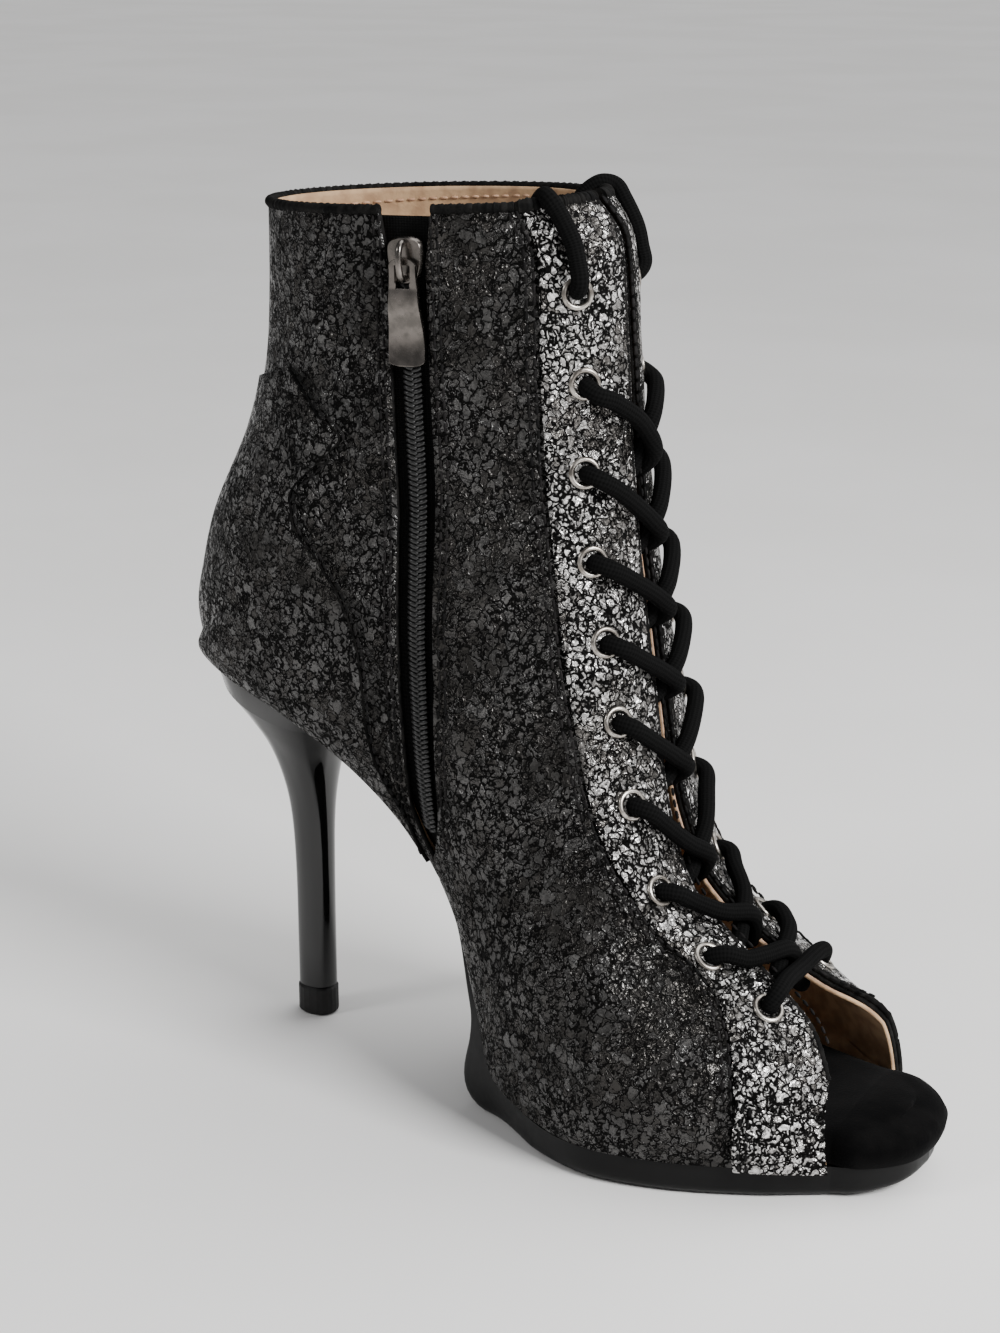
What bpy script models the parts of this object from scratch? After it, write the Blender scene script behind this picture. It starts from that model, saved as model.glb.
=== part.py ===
"""High heel dance shoe for the left foot, empty and standing, built around one last surface.

The frame: metres, +X from heel to toe, +Z up, -Y to the medial side, where the zip is.
The origin is the centre of the heel tip's bottom face, on the floor.

Every skin of the upper is the same function of two numbers. The position runs from 0 at the
front edge of the vamp to 1 at the collar, through a fan of slanted sections. The turn runs
from 0 at the sole (or at the back seam) to 1 at the ridge of the instep.
"""

import math

import bmesh
import bpy
import numpy as np
from mathutils import Matrix, Vector

PART_NAME = "high_heel_dance_shoe"

# Driving dimensions of the last and the shaft
SHOE_LENGTH = 0.2090
BALL_WIDTH = 0.0830
PLATFORM = 0.0086
HEEL_LIFT = 0.0946
INSTEP_HEIGHT = 0.0547
SHAFT_RISE = 0.1166
COLLAR_SLOPE = 0.0048

# Walls and the clearance between curved pieces
WALL = 0.0022
OVERLAY = 0.0011
CLEARANCE = 0.0003
CURVED_CLEARANCE = 0.0005

# Sole, insole and heel
ARCH_COVER = 0.0014
FOOTBED_TOE = 0.0085
FOOTBED_BALL = 0.0045
FOOTBED_SEAT = 0.0028
TIP_HEIGHT = 0.0080
TIP_LENGTH = 0.0112
TIP_WIDTH = 0.0094
STEM_LENGTH = 0.0106
STEM_WIDTH = 0.0088

# Lace, eyelets and zip
LACE = 0.0043
EYELET_RING = 0.0074
EYELET_HOLE = 0.0045
EYELET_BARREL = 0.0051
EYELET_RISE = 0.0010
ZIP_SLOT = 0.0100
ZIP_TAPE = 0.0200
ZIP_TAPE_THICKNESS = 0.0007
ZIP_COIL = 0.0046
SLIDER_LENGTH = 0.0110
SLIDER_WIDTH = 0.0088
SLIDER_HEIGHT = 0.0030
BRIDGE_WIDTH = 0.0026
BRIDGE_CLEAR = 0.0020
BRIDGE_BAR = 0.0012
PULL_LENGTH = 0.0250
PULL_WIDTH = 0.0090
PULL_THICKNESS = 0.0012

SIDES = (-1, 1)
SIDE_NAMES = {-1: "medial", 1: "lateral"}

# Centre line of each section. The x values are shares of SHOE_LENGTH from the heel tip.
# The back or bottom point rises by shares of HEEL_LIFT and SHAFT_RISE. The ridge point
# rises by shares of INSTEP_HEIGHT and of what is left from there up to the collar.
LINE_COLUMNS = ("name", "back_x", "lift", "shaft", "ridge_x", "instep", "rise")
SECTION_LINES = (
    ("vamp front", 0.770, 0.000, 0.000, 0.754, 0.561, 0.000),
    ("vamp", 0.736, 0.000, 0.000, 0.726, 0.579, 0.000),
    ("toes", 0.690, 0.000, 0.000, 0.690, 0.632, 0.000),
    ("joints", 0.602, 0.000, 0.000, 0.621, 0.789, 0.000),
    ("ball", 0.510, 0.000, 0.000, 0.556, 1.000, 0.000),
    ("ball back", 0.430, 0.010, 0.000, 0.522, 1.000, 0.089),
    ("break", 0.356, 0.056, 0.000, 0.503, 1.000, 0.173),
    ("low waist", 0.315, 0.200, 0.000, 0.490, 1.000, 0.256),
    ("waist", 0.272, 0.428, 0.000, 0.478, 1.000, 0.339),
    ("high waist", 0.213, 0.621, 0.000, 0.467, 1.000, 0.423),
    ("seat front", 0.136, 0.774, 0.000, 0.457, 1.000, 0.500),
    ("seat", 0.041, 0.895, 0.000, 0.451, 1.000, 0.577),
    ("seat back", -0.055, 0.965, 0.000, 0.446, 1.000, 0.643),
    ("heel turn", -0.117, 1.000, 0.000, 0.443, 1.000, 0.702),
    ("heel edge", -0.137, 1.000, 0.022, 0.4415, 1.000, 0.729),
    ("heel", -0.140, 1.000, 0.111, 0.440, 1.000, 0.756),
    ("heel top", -0.113, 1.000, 0.300, 0.436, 1.000, 0.815),
    ("tendon", -0.061, 1.000, 0.498, 0.433, 1.000, 0.869),
    ("ankle", -0.037, 1.000, 0.654, 0.429, 1.000, 0.917),
    ("shaft", -0.029, 1.000, 0.811, 0.421, 1.000, 0.958),
    ("collar", -0.027, 1.000, 1.000, 0.393, 1.000, 1.000),
)

# Widths of each section, as shares of BALL_WIDTH: half the sole line on each side, the
# greatest half width on each side, the swing of the centre to the lateral side and half the
# facing gap. The height of the widest point is a share of the section's own length, and the
# two curves are the powers of the superellipse below and above it.
WIDTH_COLUMNS = (
    "name", "sole_medial", "sole_lateral", "wide_medial", "wide_lateral",
    "wide_height", "swing", "lower_curve", "upper_curve", "half_gap",
)
SECTION_WIDTHS = (
    ("vamp front", 0.277, 0.277, 0.289, 0.289, 0.15, -0.075, 1.25, 2.0, 0.231),
    ("vamp", 0.318, 0.312, 0.335, 0.329, 0.18, -0.081, 1.25, 2.0, 0.150),
    ("toes", 0.376, 0.358, 0.393, 0.382, 0.24, -0.083, 1.25, 2.0, 0.104),
    ("joints", 0.462, 0.428, 0.491, 0.457, 0.30, -0.081, 1.25, 2.0, 0.069),
    ("ball", 0.503, 0.474, 0.520, 0.491, 0.30, -0.073, 1.25, 2.0, 0.064),
    ("ball back", 0.462, 0.439, 0.491, 0.474, 0.30, -0.058, 1.30, 2.0, 0.052),
    ("break", 0.387, 0.382, 0.451, 0.451, 0.32, -0.040, 1.40, 2.0, 0.046),
    ("low waist", 0.312, 0.312, 0.410, 0.422, 0.34, -0.023, 1.50, 2.1, 0.040),
    ("waist", 0.266, 0.266, 0.387, 0.393, 0.36, -0.012, 1.60, 2.1, 0.037),
    ("high waist", 0.253, 0.254, 0.376, 0.376, 0.38, -0.006, 1.60, 2.1, 0.035),
    ("seat front", 0.266, 0.272, 0.370, 0.370, 0.40, 0.000, 1.70, 2.1, 0.032),
    ("seat", 0.277, 0.277, 0.370, 0.370, 0.42, 0.000, 1.80, 2.1, 0.030),
    ("seat back", 0.235, 0.235, 0.364, 0.364, 0.42, 0.000, 1.90, 2.1, 0.029),
    ("heel turn", 0.127, 0.127, 0.358, 0.358, 0.42, 0.000, 2.00, 2.1, 0.027),
    ("heel edge", 0.000, 0.000, 0.355, 0.355, 0.42, 0.000, 2.00, 2.1, 0.026),
    ("heel", 0.000, 0.000, 0.353, 0.353, 0.42, 0.000, 2.00, 2.1, 0.025),
    ("heel top", 0.000, 0.000, 0.347, 0.347, 0.43, 0.000, 2.00, 2.1, 0.023),
    ("tendon", 0.000, 0.000, 0.335, 0.335, 0.45, 0.000, 2.00, 2.1, 0.022),
    ("ankle", 0.000, 0.000, 0.324, 0.324, 0.47, 0.000, 2.00, 2.1, 0.021),
    ("shaft", 0.000, 0.000, 0.318, 0.318, 0.48, 0.000, 2.00, 2.1, 0.020),
    ("collar", 0.000, 0.000, 0.318, 0.318, 0.50, 0.000, 2.00, 2.2, 0.020),
)

# Outline of the footbed past the vamp's front edge: x as a share of SHOE_LENGTH, half the
# width as a share of BALL_WIDTH, and how far the tread has risen as a share of PLATFORM.
TOE_COLUMNS = ("name", "x", "half_width", "spring")
TOE_ROWS = (
    ("tip", 0.8600, 0.030, 0.40),
    ("tip shoulder", 0.8555, 0.085, 0.34),
    ("toe curve", 0.8450, 0.148, 0.26),
    ("toe side", 0.8250, 0.209, 0.16),
    ("toe root", 0.8000, 0.256, 0.06),
    ("vamp front", 0.7700, 0.289, 0.00),
)

# Outer edge of the eyestay panels and of the counter: position, and turn as a share of pi.
EYESTAY_EDGE = (
    (0.109, 0.600), (0.117, 0.691), (0.135, 0.791),
    (0.160, 0.835), (0.201, 0.828), (0.287, 0.783), (0.366, 0.743), (0.434, 0.739),
    (0.505, 0.760), (0.599, 0.786), (0.770, 0.794), (0.887, 0.773), (1.000, 0.772),
)
COUNTER_EDGE = (
    (0.428, 0.000), (0.451, 0.120), (0.483, 0.189), (0.504, 0.252), (0.533, 0.356),
    (0.576, 0.453), (0.610, 0.490), (0.659, 0.502), (0.729, 0.491), (0.772, 0.452),
    (0.790, 0.446), (0.803, 0.500), (0.844, 0.421), (0.888, 0.310),
)

# Route of the zip down the medial side, and the places of the ten eyelets of each facing.
ZIP_ROUTE = (
    (1.000, 0.552), (0.928, 0.545), (0.855, 0.576), (0.772, 0.617), (0.626, 0.602),
    (0.554, 0.540), (0.506, 0.455), (0.466, 0.318), (0.433, 0.160),
)
EYELETS = (
    (0.871, 0.846), (0.761, 0.866), (0.600, 0.852), (0.512, 0.837), (0.439, 0.835),
    (0.372, 0.840), (0.298, 0.855), (0.220, 0.874), (0.162, 0.870), (0.111, 0.848),
)
SLIDER_PLACE = 0.957

# Rings of the heel, from its foot to its seat. Heights are shares of HEEL_LIFT, the back and
# front points are shares of SHOE_LENGTH, and half the width is a share of BALL_WIDTH.
HEEL_COLUMNS = ("name", "back_x", "back_z", "front_x", "front_z", "half_width")
HEEL_RINGS = (
    ("stem", -0.0255, 0.240, 0.0255, 0.240, 0.053),
    ("mid stem", -0.0260, 0.440, 0.0258, 0.440, 0.055),
    ("upper stem", -0.0295, 0.600, 0.0265, 0.590, 0.064),
    ("neck", -0.0385, 0.720, 0.0290, 0.685, 0.087),
    ("flare", -0.0570, 0.840, 0.0340, 0.765, 0.127),
    ("cup", -0.0850, 0.945, 0.0430, 0.830, 0.181),
    ("shoulder", -0.1110, 1.022, 0.0520, 0.884, 0.229),
)

# The two free ends of the lace: position, turn and height over the last, by hand.
LACE_END_ROUTE = (
    (0.873, 0.846, 0.0057), (0.905, 0.842, 0.0052), (0.943, 0.838, 0.0048),
    (0.976, 0.835, 0.0045), (1.000, 0.833, 0.0042),
)
LACE_END_OVER = 0.0060
LACE_END_INSIDE = ((1.000, 0.828, -0.0058), (0.967, 0.824, -0.0052), (0.934, 0.820, -0.0050))

COLUMN_COUNT = 12
POSITIONS = np.concatenate([np.linspace(0.0, 0.20, 9), np.linspace(0.232, 1.0, 24)])
FRONT_MARGIN = 0.002
EYELET_SIDES = 8

# Places along the sole line where the footbed, the outsole and the heel's seat have rings
FOOTBED_POSITIONS = np.concatenate([np.linspace(0.0, 0.30, 9), np.linspace(0.33, 0.65, 11), [0.675]])
OUTSOLE_POSITIONS = np.concatenate([np.linspace(0.0, 0.25, 8), [0.275, 0.295, 0.315, 0.335, 0.355], np.linspace(0.38, 0.534, 7)])
SEAT_POSITIONS = np.linspace(0.48, 0.70, 24)

# Depth of the outsole under the sole line, as shares of PLATFORM, where the floor allows it
OUTSOLE_PLACES = (0.00, 0.295, 0.315, 0.335, 0.355, 0.40)
OUTSOLE_DEPTHS = (3.00, 3.00, 1.30, 0.65, 0.40, 0.10)

# How far the back of the platform draws in toward its tread, as shares of BALL_WIDTH
TUCK_PLACES = (0.20, 0.25, 0.275, 0.295, 0.315, 0.36)
TUCK_SHARES = (0.000, 0.020, 0.075, 0.130, 0.075, 0.000)
SOLE_INSET_TOE = 0.0022
SOLE_INSET_ARCH = 0.0012
SOLE_ROUND = 0.0030
SUEDE_INSET = 0.0008
MOST_INSET = 0.85
SUEDE_BULGE = 0.0012
BREAST_X = 0.062
HEEL_INSET = 0.0006
SEAT_DROP = 0.0002
BRIDGE_LENGTH = 0.0088
COIL_SINK = -0.0006

# The slot that the zip closes, and how far the hidden cutters reach past a wall
ZIP_LOW = 0.432
ZIP_PAST_COLLAR = 1.03
ZIP_MOUTH = 0.0022
CUTTER_REACH = 0.0020

COLOURS = {
    "foil_leather": ((0.13, 0.125, 0.125), 0.42, 0.35),
    "lining": ((0.44, 0.28, 0.19), 0.70, 0.0),
    "suede": ((0.012, 0.012, 0.013), 0.95, 0.0),
    "sole_black": ((0.014, 0.014, 0.015), 0.35, 0.0),
    "heel_gloss": ((0.010, 0.010, 0.011), 0.12, 0.0),
    "zip_black": ((0.012, 0.012, 0.012), 0.60, 0.0),
    "gunmetal": ((0.23, 0.21, 0.19), 0.30, 1.0),
    "antique_silver": ((0.45, 0.44, 0.42), 0.28, 1.0),
    "lace_black": ((0.016, 0.016, 0.017), 0.90, 0.0),
}


def table_column(table, columns, name):
    """One named column of a table, as an array."""
    place = columns.index(name)
    return np.array([row[place] for row in table], float)


def smooth_between(values, place):
    """Values of a table at fractional row numbers, on a Catmull-Rom curve."""
    last = len(values) - 1
    place = np.clip(np.asarray(place, float), 0, last - 1e-9)
    row = np.floor(place).astype(int)
    part = place - row
    before = values[np.clip(row - 1, 0, last)]
    start = values[row]
    end = values[np.clip(row + 1, 0, last)]
    after = values[np.clip(row + 2, 0, last)]
    leave = (end - before) / 2
    arrive = (after - start) / 2
    square = part * part
    cube = square * part
    return (
        (2 * cube - 3 * square + 1) * start
        + (cube - 2 * square + part) * leave
        + (3 * square - 2 * cube) * end
        + (cube - square) * arrive
    )


def section(position):
    """The sizes of the fan's section at a position, in metres."""
    place = np.asarray(position, float) * (len(SECTION_LINES) - 1)
    line = {
        name: smooth_between(table_column(SECTION_LINES, LINE_COLUMNS, name), place)
        for name in LINE_COLUMNS[1:]
    }
    width = {
        name: smooth_between(table_column(SECTION_WIDTHS, WIDTH_COLUMNS, name), place)
        for name in WIDTH_COLUMNS[1:]
    }
    left_over = HEEL_LIFT + SHAFT_RISE + COLLAR_SLOPE - INSTEP_HEIGHT
    sizes = {
        "back_x": line["back_x"] * SHOE_LENGTH,
        "back_z": PLATFORM + line["lift"] * HEEL_LIFT + line["shaft"] * SHAFT_RISE,
        "ridge_x": line["ridge_x"] * SHOE_LENGTH,
        "ridge_z": PLATFORM + line["instep"] * INSTEP_HEIGHT + line["rise"] * left_over,
    }
    for name in ("sole_medial", "sole_lateral", "wide_medial", "wide_lateral", "swing", "half_gap"):
        sizes[name] = width[name] * BALL_WIDTH
    for name in ("sole_medial", "sole_lateral"):
        sizes[name] = np.maximum(sizes[name], 0.0)
    for name in ("wide_height", "lower_curve", "upper_curve"):
        sizes[name] = width[name]
    return sizes


def last_point(position, turn, side):
    """Points of the last. With H the section's length and h the height along it,
    y = sole + (wide - sole) sin(a)^(2/p), h = H m (1 - cos(a)^(2/p)) below the widest point
    and y = wide sin(a)^(2/q), h = H (m + (1 - m)(-cos(a))^(2/q)) above it, a = pi * turn."""
    size = section(position)
    angle = np.pi * np.asarray(turn, float)
    sine = np.clip(np.sin(angle), 0, 1)
    cosine = np.cos(angle)
    sole = size["sole_" + SIDE_NAMES[side]]
    wide = size["wide_" + SIDE_NAMES[side]]
    low = 2 / size["lower_curve"]
    high = 2 / size["upper_curve"]
    middle = size["wide_height"]
    below = angle <= np.pi / 2
    height = np.where(
        below,
        middle * (1 - np.clip(cosine, 0, 1) ** low),
        middle + (1 - middle) * np.clip(-cosine, 0, 1) ** high,
    )
    across = np.where(below, sole + (wide - sole) * sine**low, wide * sine**high)
    x = size["back_x"] + (size["ridge_x"] - size["back_x"]) * height
    y = size["swing"] + side * across
    z = size["back_z"] + (size["ridge_z"] - size["back_z"]) * height
    return np.stack([x, y, z], -1)


def last_slopes(position, turn, side):
    """How the last's point moves with its position and with its turn."""
    step = 0.004
    inner = np.clip(turn, 4 * step, 1 - step)
    place = np.clip(position, step, 1 - step)
    along = last_point(place + step, inner, side) - last_point(place - step, inner, side)
    around = last_point(place, inner + step, side) - last_point(place, inner - step, side)
    return along / (2 * step), around / (2 * step)


def last_normal(position, turn, side):
    """The last's outward unit normal."""
    along, around = last_slopes(position, turn, side)
    normal = np.cross(along, around) * side
    at_back_seam = (np.asarray(turn) <= 0) & (section(position)["sole_medial"] <= 0)
    normal[..., 1] = np.where(at_back_seam, 0.0, normal[..., 1])
    return normal / np.linalg.norm(normal, axis=-1, keepdims=True)


def skin(position, turn, side, height):
    """Points at a height over the last."""
    position = np.asarray(position, float)
    turn = np.asarray(turn, float)
    return last_point(position, turn, side) + last_normal(position, turn, side) * height


def facing_turn(position, side):
    """The turn at which a section meets the facing's edge."""
    size = section(position)
    wide = size["wide_" + SIDE_NAMES[side]]
    share = np.clip(size["half_gap"] / wide, 0, 1) ** (size["upper_curve"] / 2)
    return 1 - np.arcsin(share) / np.pi


def edge_turn(edge, position):
    """The turn of a panel's edge at a position."""
    return np.interp(position, [row[0] for row in edge], [row[1] for row in edge])


def side_step(position, turn, side, distance):
    """The position and turn reached by a step over the skin across the zip's route."""
    ahead = 0.01
    route_turn = zip_turn(np.clip(position + ahead, 0, 1)) - zip_turn(np.clip(position - ahead, 0, 1))
    along, around = last_slopes(position, turn, side)
    tangent = along * (2 * ahead) + around * route_turn[..., None]
    tangent = tangent / np.linalg.norm(tangent, axis=-1, keepdims=True)
    across = np.cross(last_normal(position, turn, side), tangent)
    moved_position = np.empty_like(position)
    moved_turn = np.empty_like(position)
    for index in range(len(position)):
        basis = np.stack([along[index], around[index]], 1)
        share, *_ = np.linalg.lstsq(basis, across[index] * distance[index], rcond=None)
        moved_position[index] = position[index] + share[0]
        moved_turn[index] = turn[index] + share[1]
    return moved_position, moved_turn


def zip_turn(position):
    """The turn of the zip's route at a position."""
    places = [row[0] for row in reversed(ZIP_ROUTE)]
    turns = [row[1] for row in reversed(ZIP_ROUTE)]
    return np.interp(position, places, turns)


def material(name):
    """A Principled material with the part's own colour, roughness and metallic value."""
    found = bpy.data.materials.get(name)
    if found:
        return found
    colour, roughness, metallic = COLOURS[name]
    made = bpy.data.materials.new(name)
    made.use_nodes = True
    shader = made.node_tree.nodes["Principled BSDF"]
    shader.inputs["Base Color"].default_value = (*colour, 1.0)
    shader.inputs["Roughness"].default_value = roughness
    shader.inputs["Metallic"].default_value = metallic
    made.diffuse_color = (*colour, 1.0)
    return made


def make_object(name, points, faces, finish, collection=PART_NAME):
    """A mesh object from points and faces, its doubled points merged."""
    mesh = bpy.data.meshes.new(name)
    mesh.from_pydata([tuple(point) for point in points], [], [tuple(face) for face in faces])
    work = bmesh.new()
    work.from_mesh(mesh)
    bmesh.ops.remove_doubles(work, verts=work.verts, dist=0.000002)
    work.to_mesh(mesh)
    work.free()
    mesh.materials.append(material(finish))
    made = bpy.data.objects.new(name, mesh)
    bpy.data.collections[collection].objects.link(made)
    return made


def face_outward(made):
    """Turns a closed mesh's faces outward and shades it smooth but for its sharp edges."""
    work = bmesh.new()
    work.from_mesh(made.data)
    bmesh.ops.recalc_face_normals(work, faces=work.faces)
    work.to_mesh(made.data)
    work.free()
    made.data.shade_smooth()
    made.data.set_sharp_from_angle(angle=math.radians(35))
    return made


def grid_faces(rows, columns, first, flip):
    """The quads of a grid of points, whose numbers start at first."""
    faces = []
    for row in range(rows - 1):
        for column in range(columns - 1):
            corner = first + row * columns + column
            face = (corner, corner + 1, corner + columns + 1, corner + columns)
            faces.append(face[::-1] if flip else face)
    return faces


def patch(positions, start, end, columns):
    """A stretch of wall: its positions, the turns where it starts and ends, and its columns."""
    return {"positions": positions, "start": start, "end": end, "columns": columns}


def wall_piece(name, patches, sides, height, thickness, finish):
    """A wall over patches that meet, at a height over the last. A negative thickness goes inward."""
    points = []
    faces = []
    for side in sides:
        for part in patches:
            positions = part["positions"]
            grid_position = np.repeat(positions[:, None], part["columns"], 1)
            share = np.linspace(0, 1, part["columns"])[None, :]
            first_turn = part["start"](positions, side)[:, None]
            last_turn = part["end"](positions, side)[:, None]
            grid = skin(grid_position, first_turn + (last_turn - first_turn) * share, side, height)
            faces += grid_faces(len(positions), part["columns"], len(points), side > 0)
            points += list(grid.reshape(-1, 3))
    made = make_object(name, points, faces, finish)
    thicken = made.modifiers.new("wall", "SOLIDIFY")
    thicken.thickness = abs(thickness)
    thicken.offset = 1 if thickness > 0 else -1
    thicken.use_even_offset = False
    made.data.shade_smooth()
    return made


def cap_faces(first, count):
    """A ring's cap in strips from its first point's side across to the opposite side."""
    half = count // 2
    faces = [(first, first + 1, first + count - 1), (first + half - 1, first + half, first + half + 1)]
    for corner in range(1, half - 1):
        opposite = first + count - corner
        faces.append((first + corner, first + corner + 1, opposite - 1, opposite))
    return faces


def joined_rings(name, rings, finish, collection=PART_NAME):
    """A loft through rings of equal point counts, its two ends capped."""
    count = len(rings[0])
    points = [point for ring in rings for point in ring]
    faces = []
    for ring in range(len(rings) - 1):
        for corner in range(count):
            following = (corner + 1) % count
            low = ring * count
            faces.append((low + corner, low + following, low + count + following, low + count + corner))
    faces += cap_faces(0, count) + cap_faces((len(rings) - 1) * count, count)
    return face_outward(make_object(name, points, faces, finish, collection))


def tube(name, points, width, finish, resolution=2):
    """A cord through a list of points, as a curve with a round bevel and filled caps."""
    curve = bpy.data.curves.new(name, "CURVE")
    curve.dimensions = "3D"
    spline = curve.splines.new("POLY")
    spline.points.add(len(points) - 1)
    for target, point in zip(spline.points, points):
        target.co = (*point, 1.0)
    curve.bevel_depth = width / 2
    curve.bevel_resolution = resolution
    curve.use_fill_caps = True
    curve.materials.append(material(finish))
    made = bpy.data.objects.new(name, curve)
    bpy.data.collections[PART_NAME].objects.link(made)
    return made


def smooth_route(points, count):
    """Points evenly numbered along a smooth curve through the given ones."""
    points = np.asarray(points, float)
    place = np.linspace(0, len(points) - 1, count)
    return np.stack([smooth_between(points[:, axis], place) for axis in range(3)], -1)


def to_facing(position, side):
    return facing_turn(position, side)


def from_sole(position, side):
    return np.zeros_like(position)


def cut(target, cutter, name):
    """Cuts a hidden cutter from a piece."""
    change = target.modifiers.new(name, "BOOLEAN")
    change.operation = "DIFFERENCE"
    change.object = cutter
    change.solver = "EXACT"


def hide_cutter(made):
    made.hide_render = True
    made.display_type = "WIRE"
    return made


def local_frame(position, turn, side):
    """The point, the tangent toward the collar, the outward normal and the way across."""
    place = np.array([position])
    spin = np.array([turn])
    point = last_point(place, spin, side)[0]
    normal = last_normal(place, spin, side)[0]
    along, _ = last_slopes(place, spin, side)
    tangent = along[0] - normal * along[0].dot(normal)
    tangent = tangent / np.linalg.norm(tangent)
    return point, tangent, normal, np.cross(normal, tangent)


def hole_cutters():
    """One mesh of round cutters, one through each eyelet's place on both facings."""
    points = []
    faces = []
    count = EYELET_SIDES
    reach = WALL + OVERLAY + 0.003
    radius = (EYELET_BARREL / 2 + CLEARANCE) / math.cos(math.pi / count)
    for side in SIDES:
        for position, turn in EYELETS:
            centre, tangent, normal, across = local_frame(position, turn, side)
            first = len(points)
            for height in (-reach, reach):
                for corner in range(count):
                    angle = 2 * math.pi * corner / count
                    spoke = tangent * math.cos(angle) + across * math.sin(angle)
                    points.append(centre + normal * height + spoke * radius)
            for corner in range(count):
                following = (corner + 1) % count
                faces.append((first + corner, first + following, first + count + following, first + count + corner))
            faces.append(tuple(range(first + count - 1, first - 1, -1)))
            faces.append(tuple(range(first + count, first + 2 * count)))
    return hide_cutter(face_outward(make_object("eyelet_cutters", points, faces, "gunmetal", "cutters")))


def zip_strip(name, low, high, count, half_width, bottom, top, finish, mouth=0.0):
    """A strip along the zip's route between two heights over the last. A strip with a mouth
    widens at the collar and is a cutter."""
    positions = np.linspace(low, high, count)
    turns = zip_turn(positions)
    widths = np.full(count, half_width)
    widths[-2:] += mouth
    past_collar = np.clip(positions - 1, 0, None) * SHAFT_RISE
    across = [side_step(positions, turns, -1, widths * share) for share in (-1.0, -0.34, 0.34, 1.0)]
    rings = []
    for row in range(count):
        ring = []
        for height, order in ((bottom, across), (top, across[::-1])):
            for place, spin in order:
                point = skin(place[row : row + 1], spin[row : row + 1], -1, height)[0]
                ring.append(point + np.array([0, 0, past_collar[row]]))
        rings.append(ring)
    made = joined_rings(name, rings, finish, "cutters" if mouth else PART_NAME)
    return hide_cutter(made) if mouth else made


def make_upper():
    """The hollow upper, open at the sole, the collar, the throat and the toe."""
    patches = [patch(POSITIONS, from_sole, to_facing, COLUMN_COUNT)]
    upper = wall_piece("upper", patches, SIDES, 0.0, -WALL, "foil_leather")
    slot = zip_strip(
        "zip_slot_cutter", ZIP_LOW, ZIP_PAST_COLLAR, 18, ZIP_SLOT / 2,
        -WALL - CUTTER_REACH, CUTTER_REACH, "gunmetal", ZIP_MOUTH,
    )
    cut(upper, slot, "zip slot")
    return upper


def make_eyestay(side):
    """The panel that carries the eyelets and covers the vamp's front, down to the sole."""
    corner_place, corner_turn = EYESTAY_EDGE[0]
    front = np.linspace(FRONT_MARGIN, corner_place, 6)
    back = np.concatenate([[corner_place], [0.113, 0.117, 0.126, 0.135, 0.147], POSITIONS[POSITIONS > 0.155]])

    def to_corner(position, _side):
        return np.full_like(position, corner_turn)

    def from_edge(position, _side):
        return edge_turn(EYESTAY_EDGE, position)

    patches = [
        patch(front, from_sole, to_corner, 9),
        patch(front, to_corner, to_facing, 7),
        patch(back, from_edge, to_facing, 7),
    ]
    name = "eyestay_" + SIDE_NAMES[side]
    return wall_piece(name, patches, (side,), CURVED_CLEARANCE, OVERLAY, "foil_leather")


def make_counter():
    """The counter that wraps the heel, up to its stepped top edge."""
    low = COUNTER_EDGE[0][0]
    top = COUNTER_EDGE[-1][0]
    middle = POSITIONS[(POSITIONS > low + 0.01) & (POSITIONS < top - 0.02)]
    positions = np.concatenate([[low + 0.006], middle, [top - 0.015, top]])

    def to_edge(position, _side):
        return edge_turn(COUNTER_EDGE, position)

    patches = [patch(positions, from_sole, to_edge, 8)]
    return wall_piece("heel_counter", patches, SIDES, CURVED_CLEARANCE, OVERLAY, "foil_leather")


def sole_stations(toe_count, upper_positions):
    """The sole line from the toe's tip to a place under the heel: centre x and z, half
    widths on both sides, swing and the tread's rise."""
    place = np.linspace(0, len(TOE_ROWS) - 1, toe_count)[:-1]
    toe = {name: smooth_between(table_column(TOE_ROWS, TOE_COLUMNS, name), place) for name in TOE_COLUMNS[1:]}
    size = section(upper_positions)
    swing = section(np.array([0.0]))["swing"][0]
    zeros = np.zeros(toe_count - 1)
    return {
        "x": np.concatenate([toe["x"] * SHOE_LENGTH, size["back_x"]]),
        "z": np.concatenate([zeros + PLATFORM, size["back_z"]]),
        "medial": np.concatenate([toe["half_width"] * BALL_WIDTH, size["sole_medial"]]),
        "lateral": np.concatenate([toe["half_width"] * BALL_WIDTH, size["sole_lateral"]]),
        "swing": np.concatenate([zeros + swing, size["swing"]]),
        "spring": np.concatenate([toe["spring"] * PLATFORM, np.zeros(len(upper_positions))]),
        "position": np.concatenate([zeros, upper_positions]),
        "toe": np.concatenate([zeros + 1, np.zeros(len(upper_positions))]),
    }


def sole_edges(stations, inset):
    """Both edges of the sole line in plan, moved inward, and its down direction in side view."""
    x = stations["x"]
    slope_x = np.gradient(x)
    slope_z = np.gradient(stations["z"])
    length = np.hypot(slope_x, slope_z)
    down = np.stack([slope_z / length, np.zeros_like(x), -slope_x / length], -1)
    down = down * np.where(down[:, 2:] > 0, -1, 1)
    ahead = np.stack([slope_x / length, np.zeros_like(x), slope_z / length], -1)
    edges = {}
    for side in SIDES:
        half = stations[SIDE_NAMES[side]]
        run = np.gradient(np.concatenate([[0], np.cumsum(np.hypot(np.diff(x), np.diff(stations["z"])))]))
        widen = np.gradient(half) / run
        across = 1 / np.sqrt(1 + widen**2)
        forward = -widen * across
        point = np.stack([x, stations["swing"] + side * half, stations["z"]], -1)
        point = point - np.array([0, side, 0]) * np.minimum(across * inset, half * MOST_INSET)[:, None]
        point = point - ahead * (forward * inset)[:, None]
        point[:, 0] = np.maximum.accumulate(point[::-1, 0])[::-1]
        edges[side] = point
    return edges, down


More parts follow.
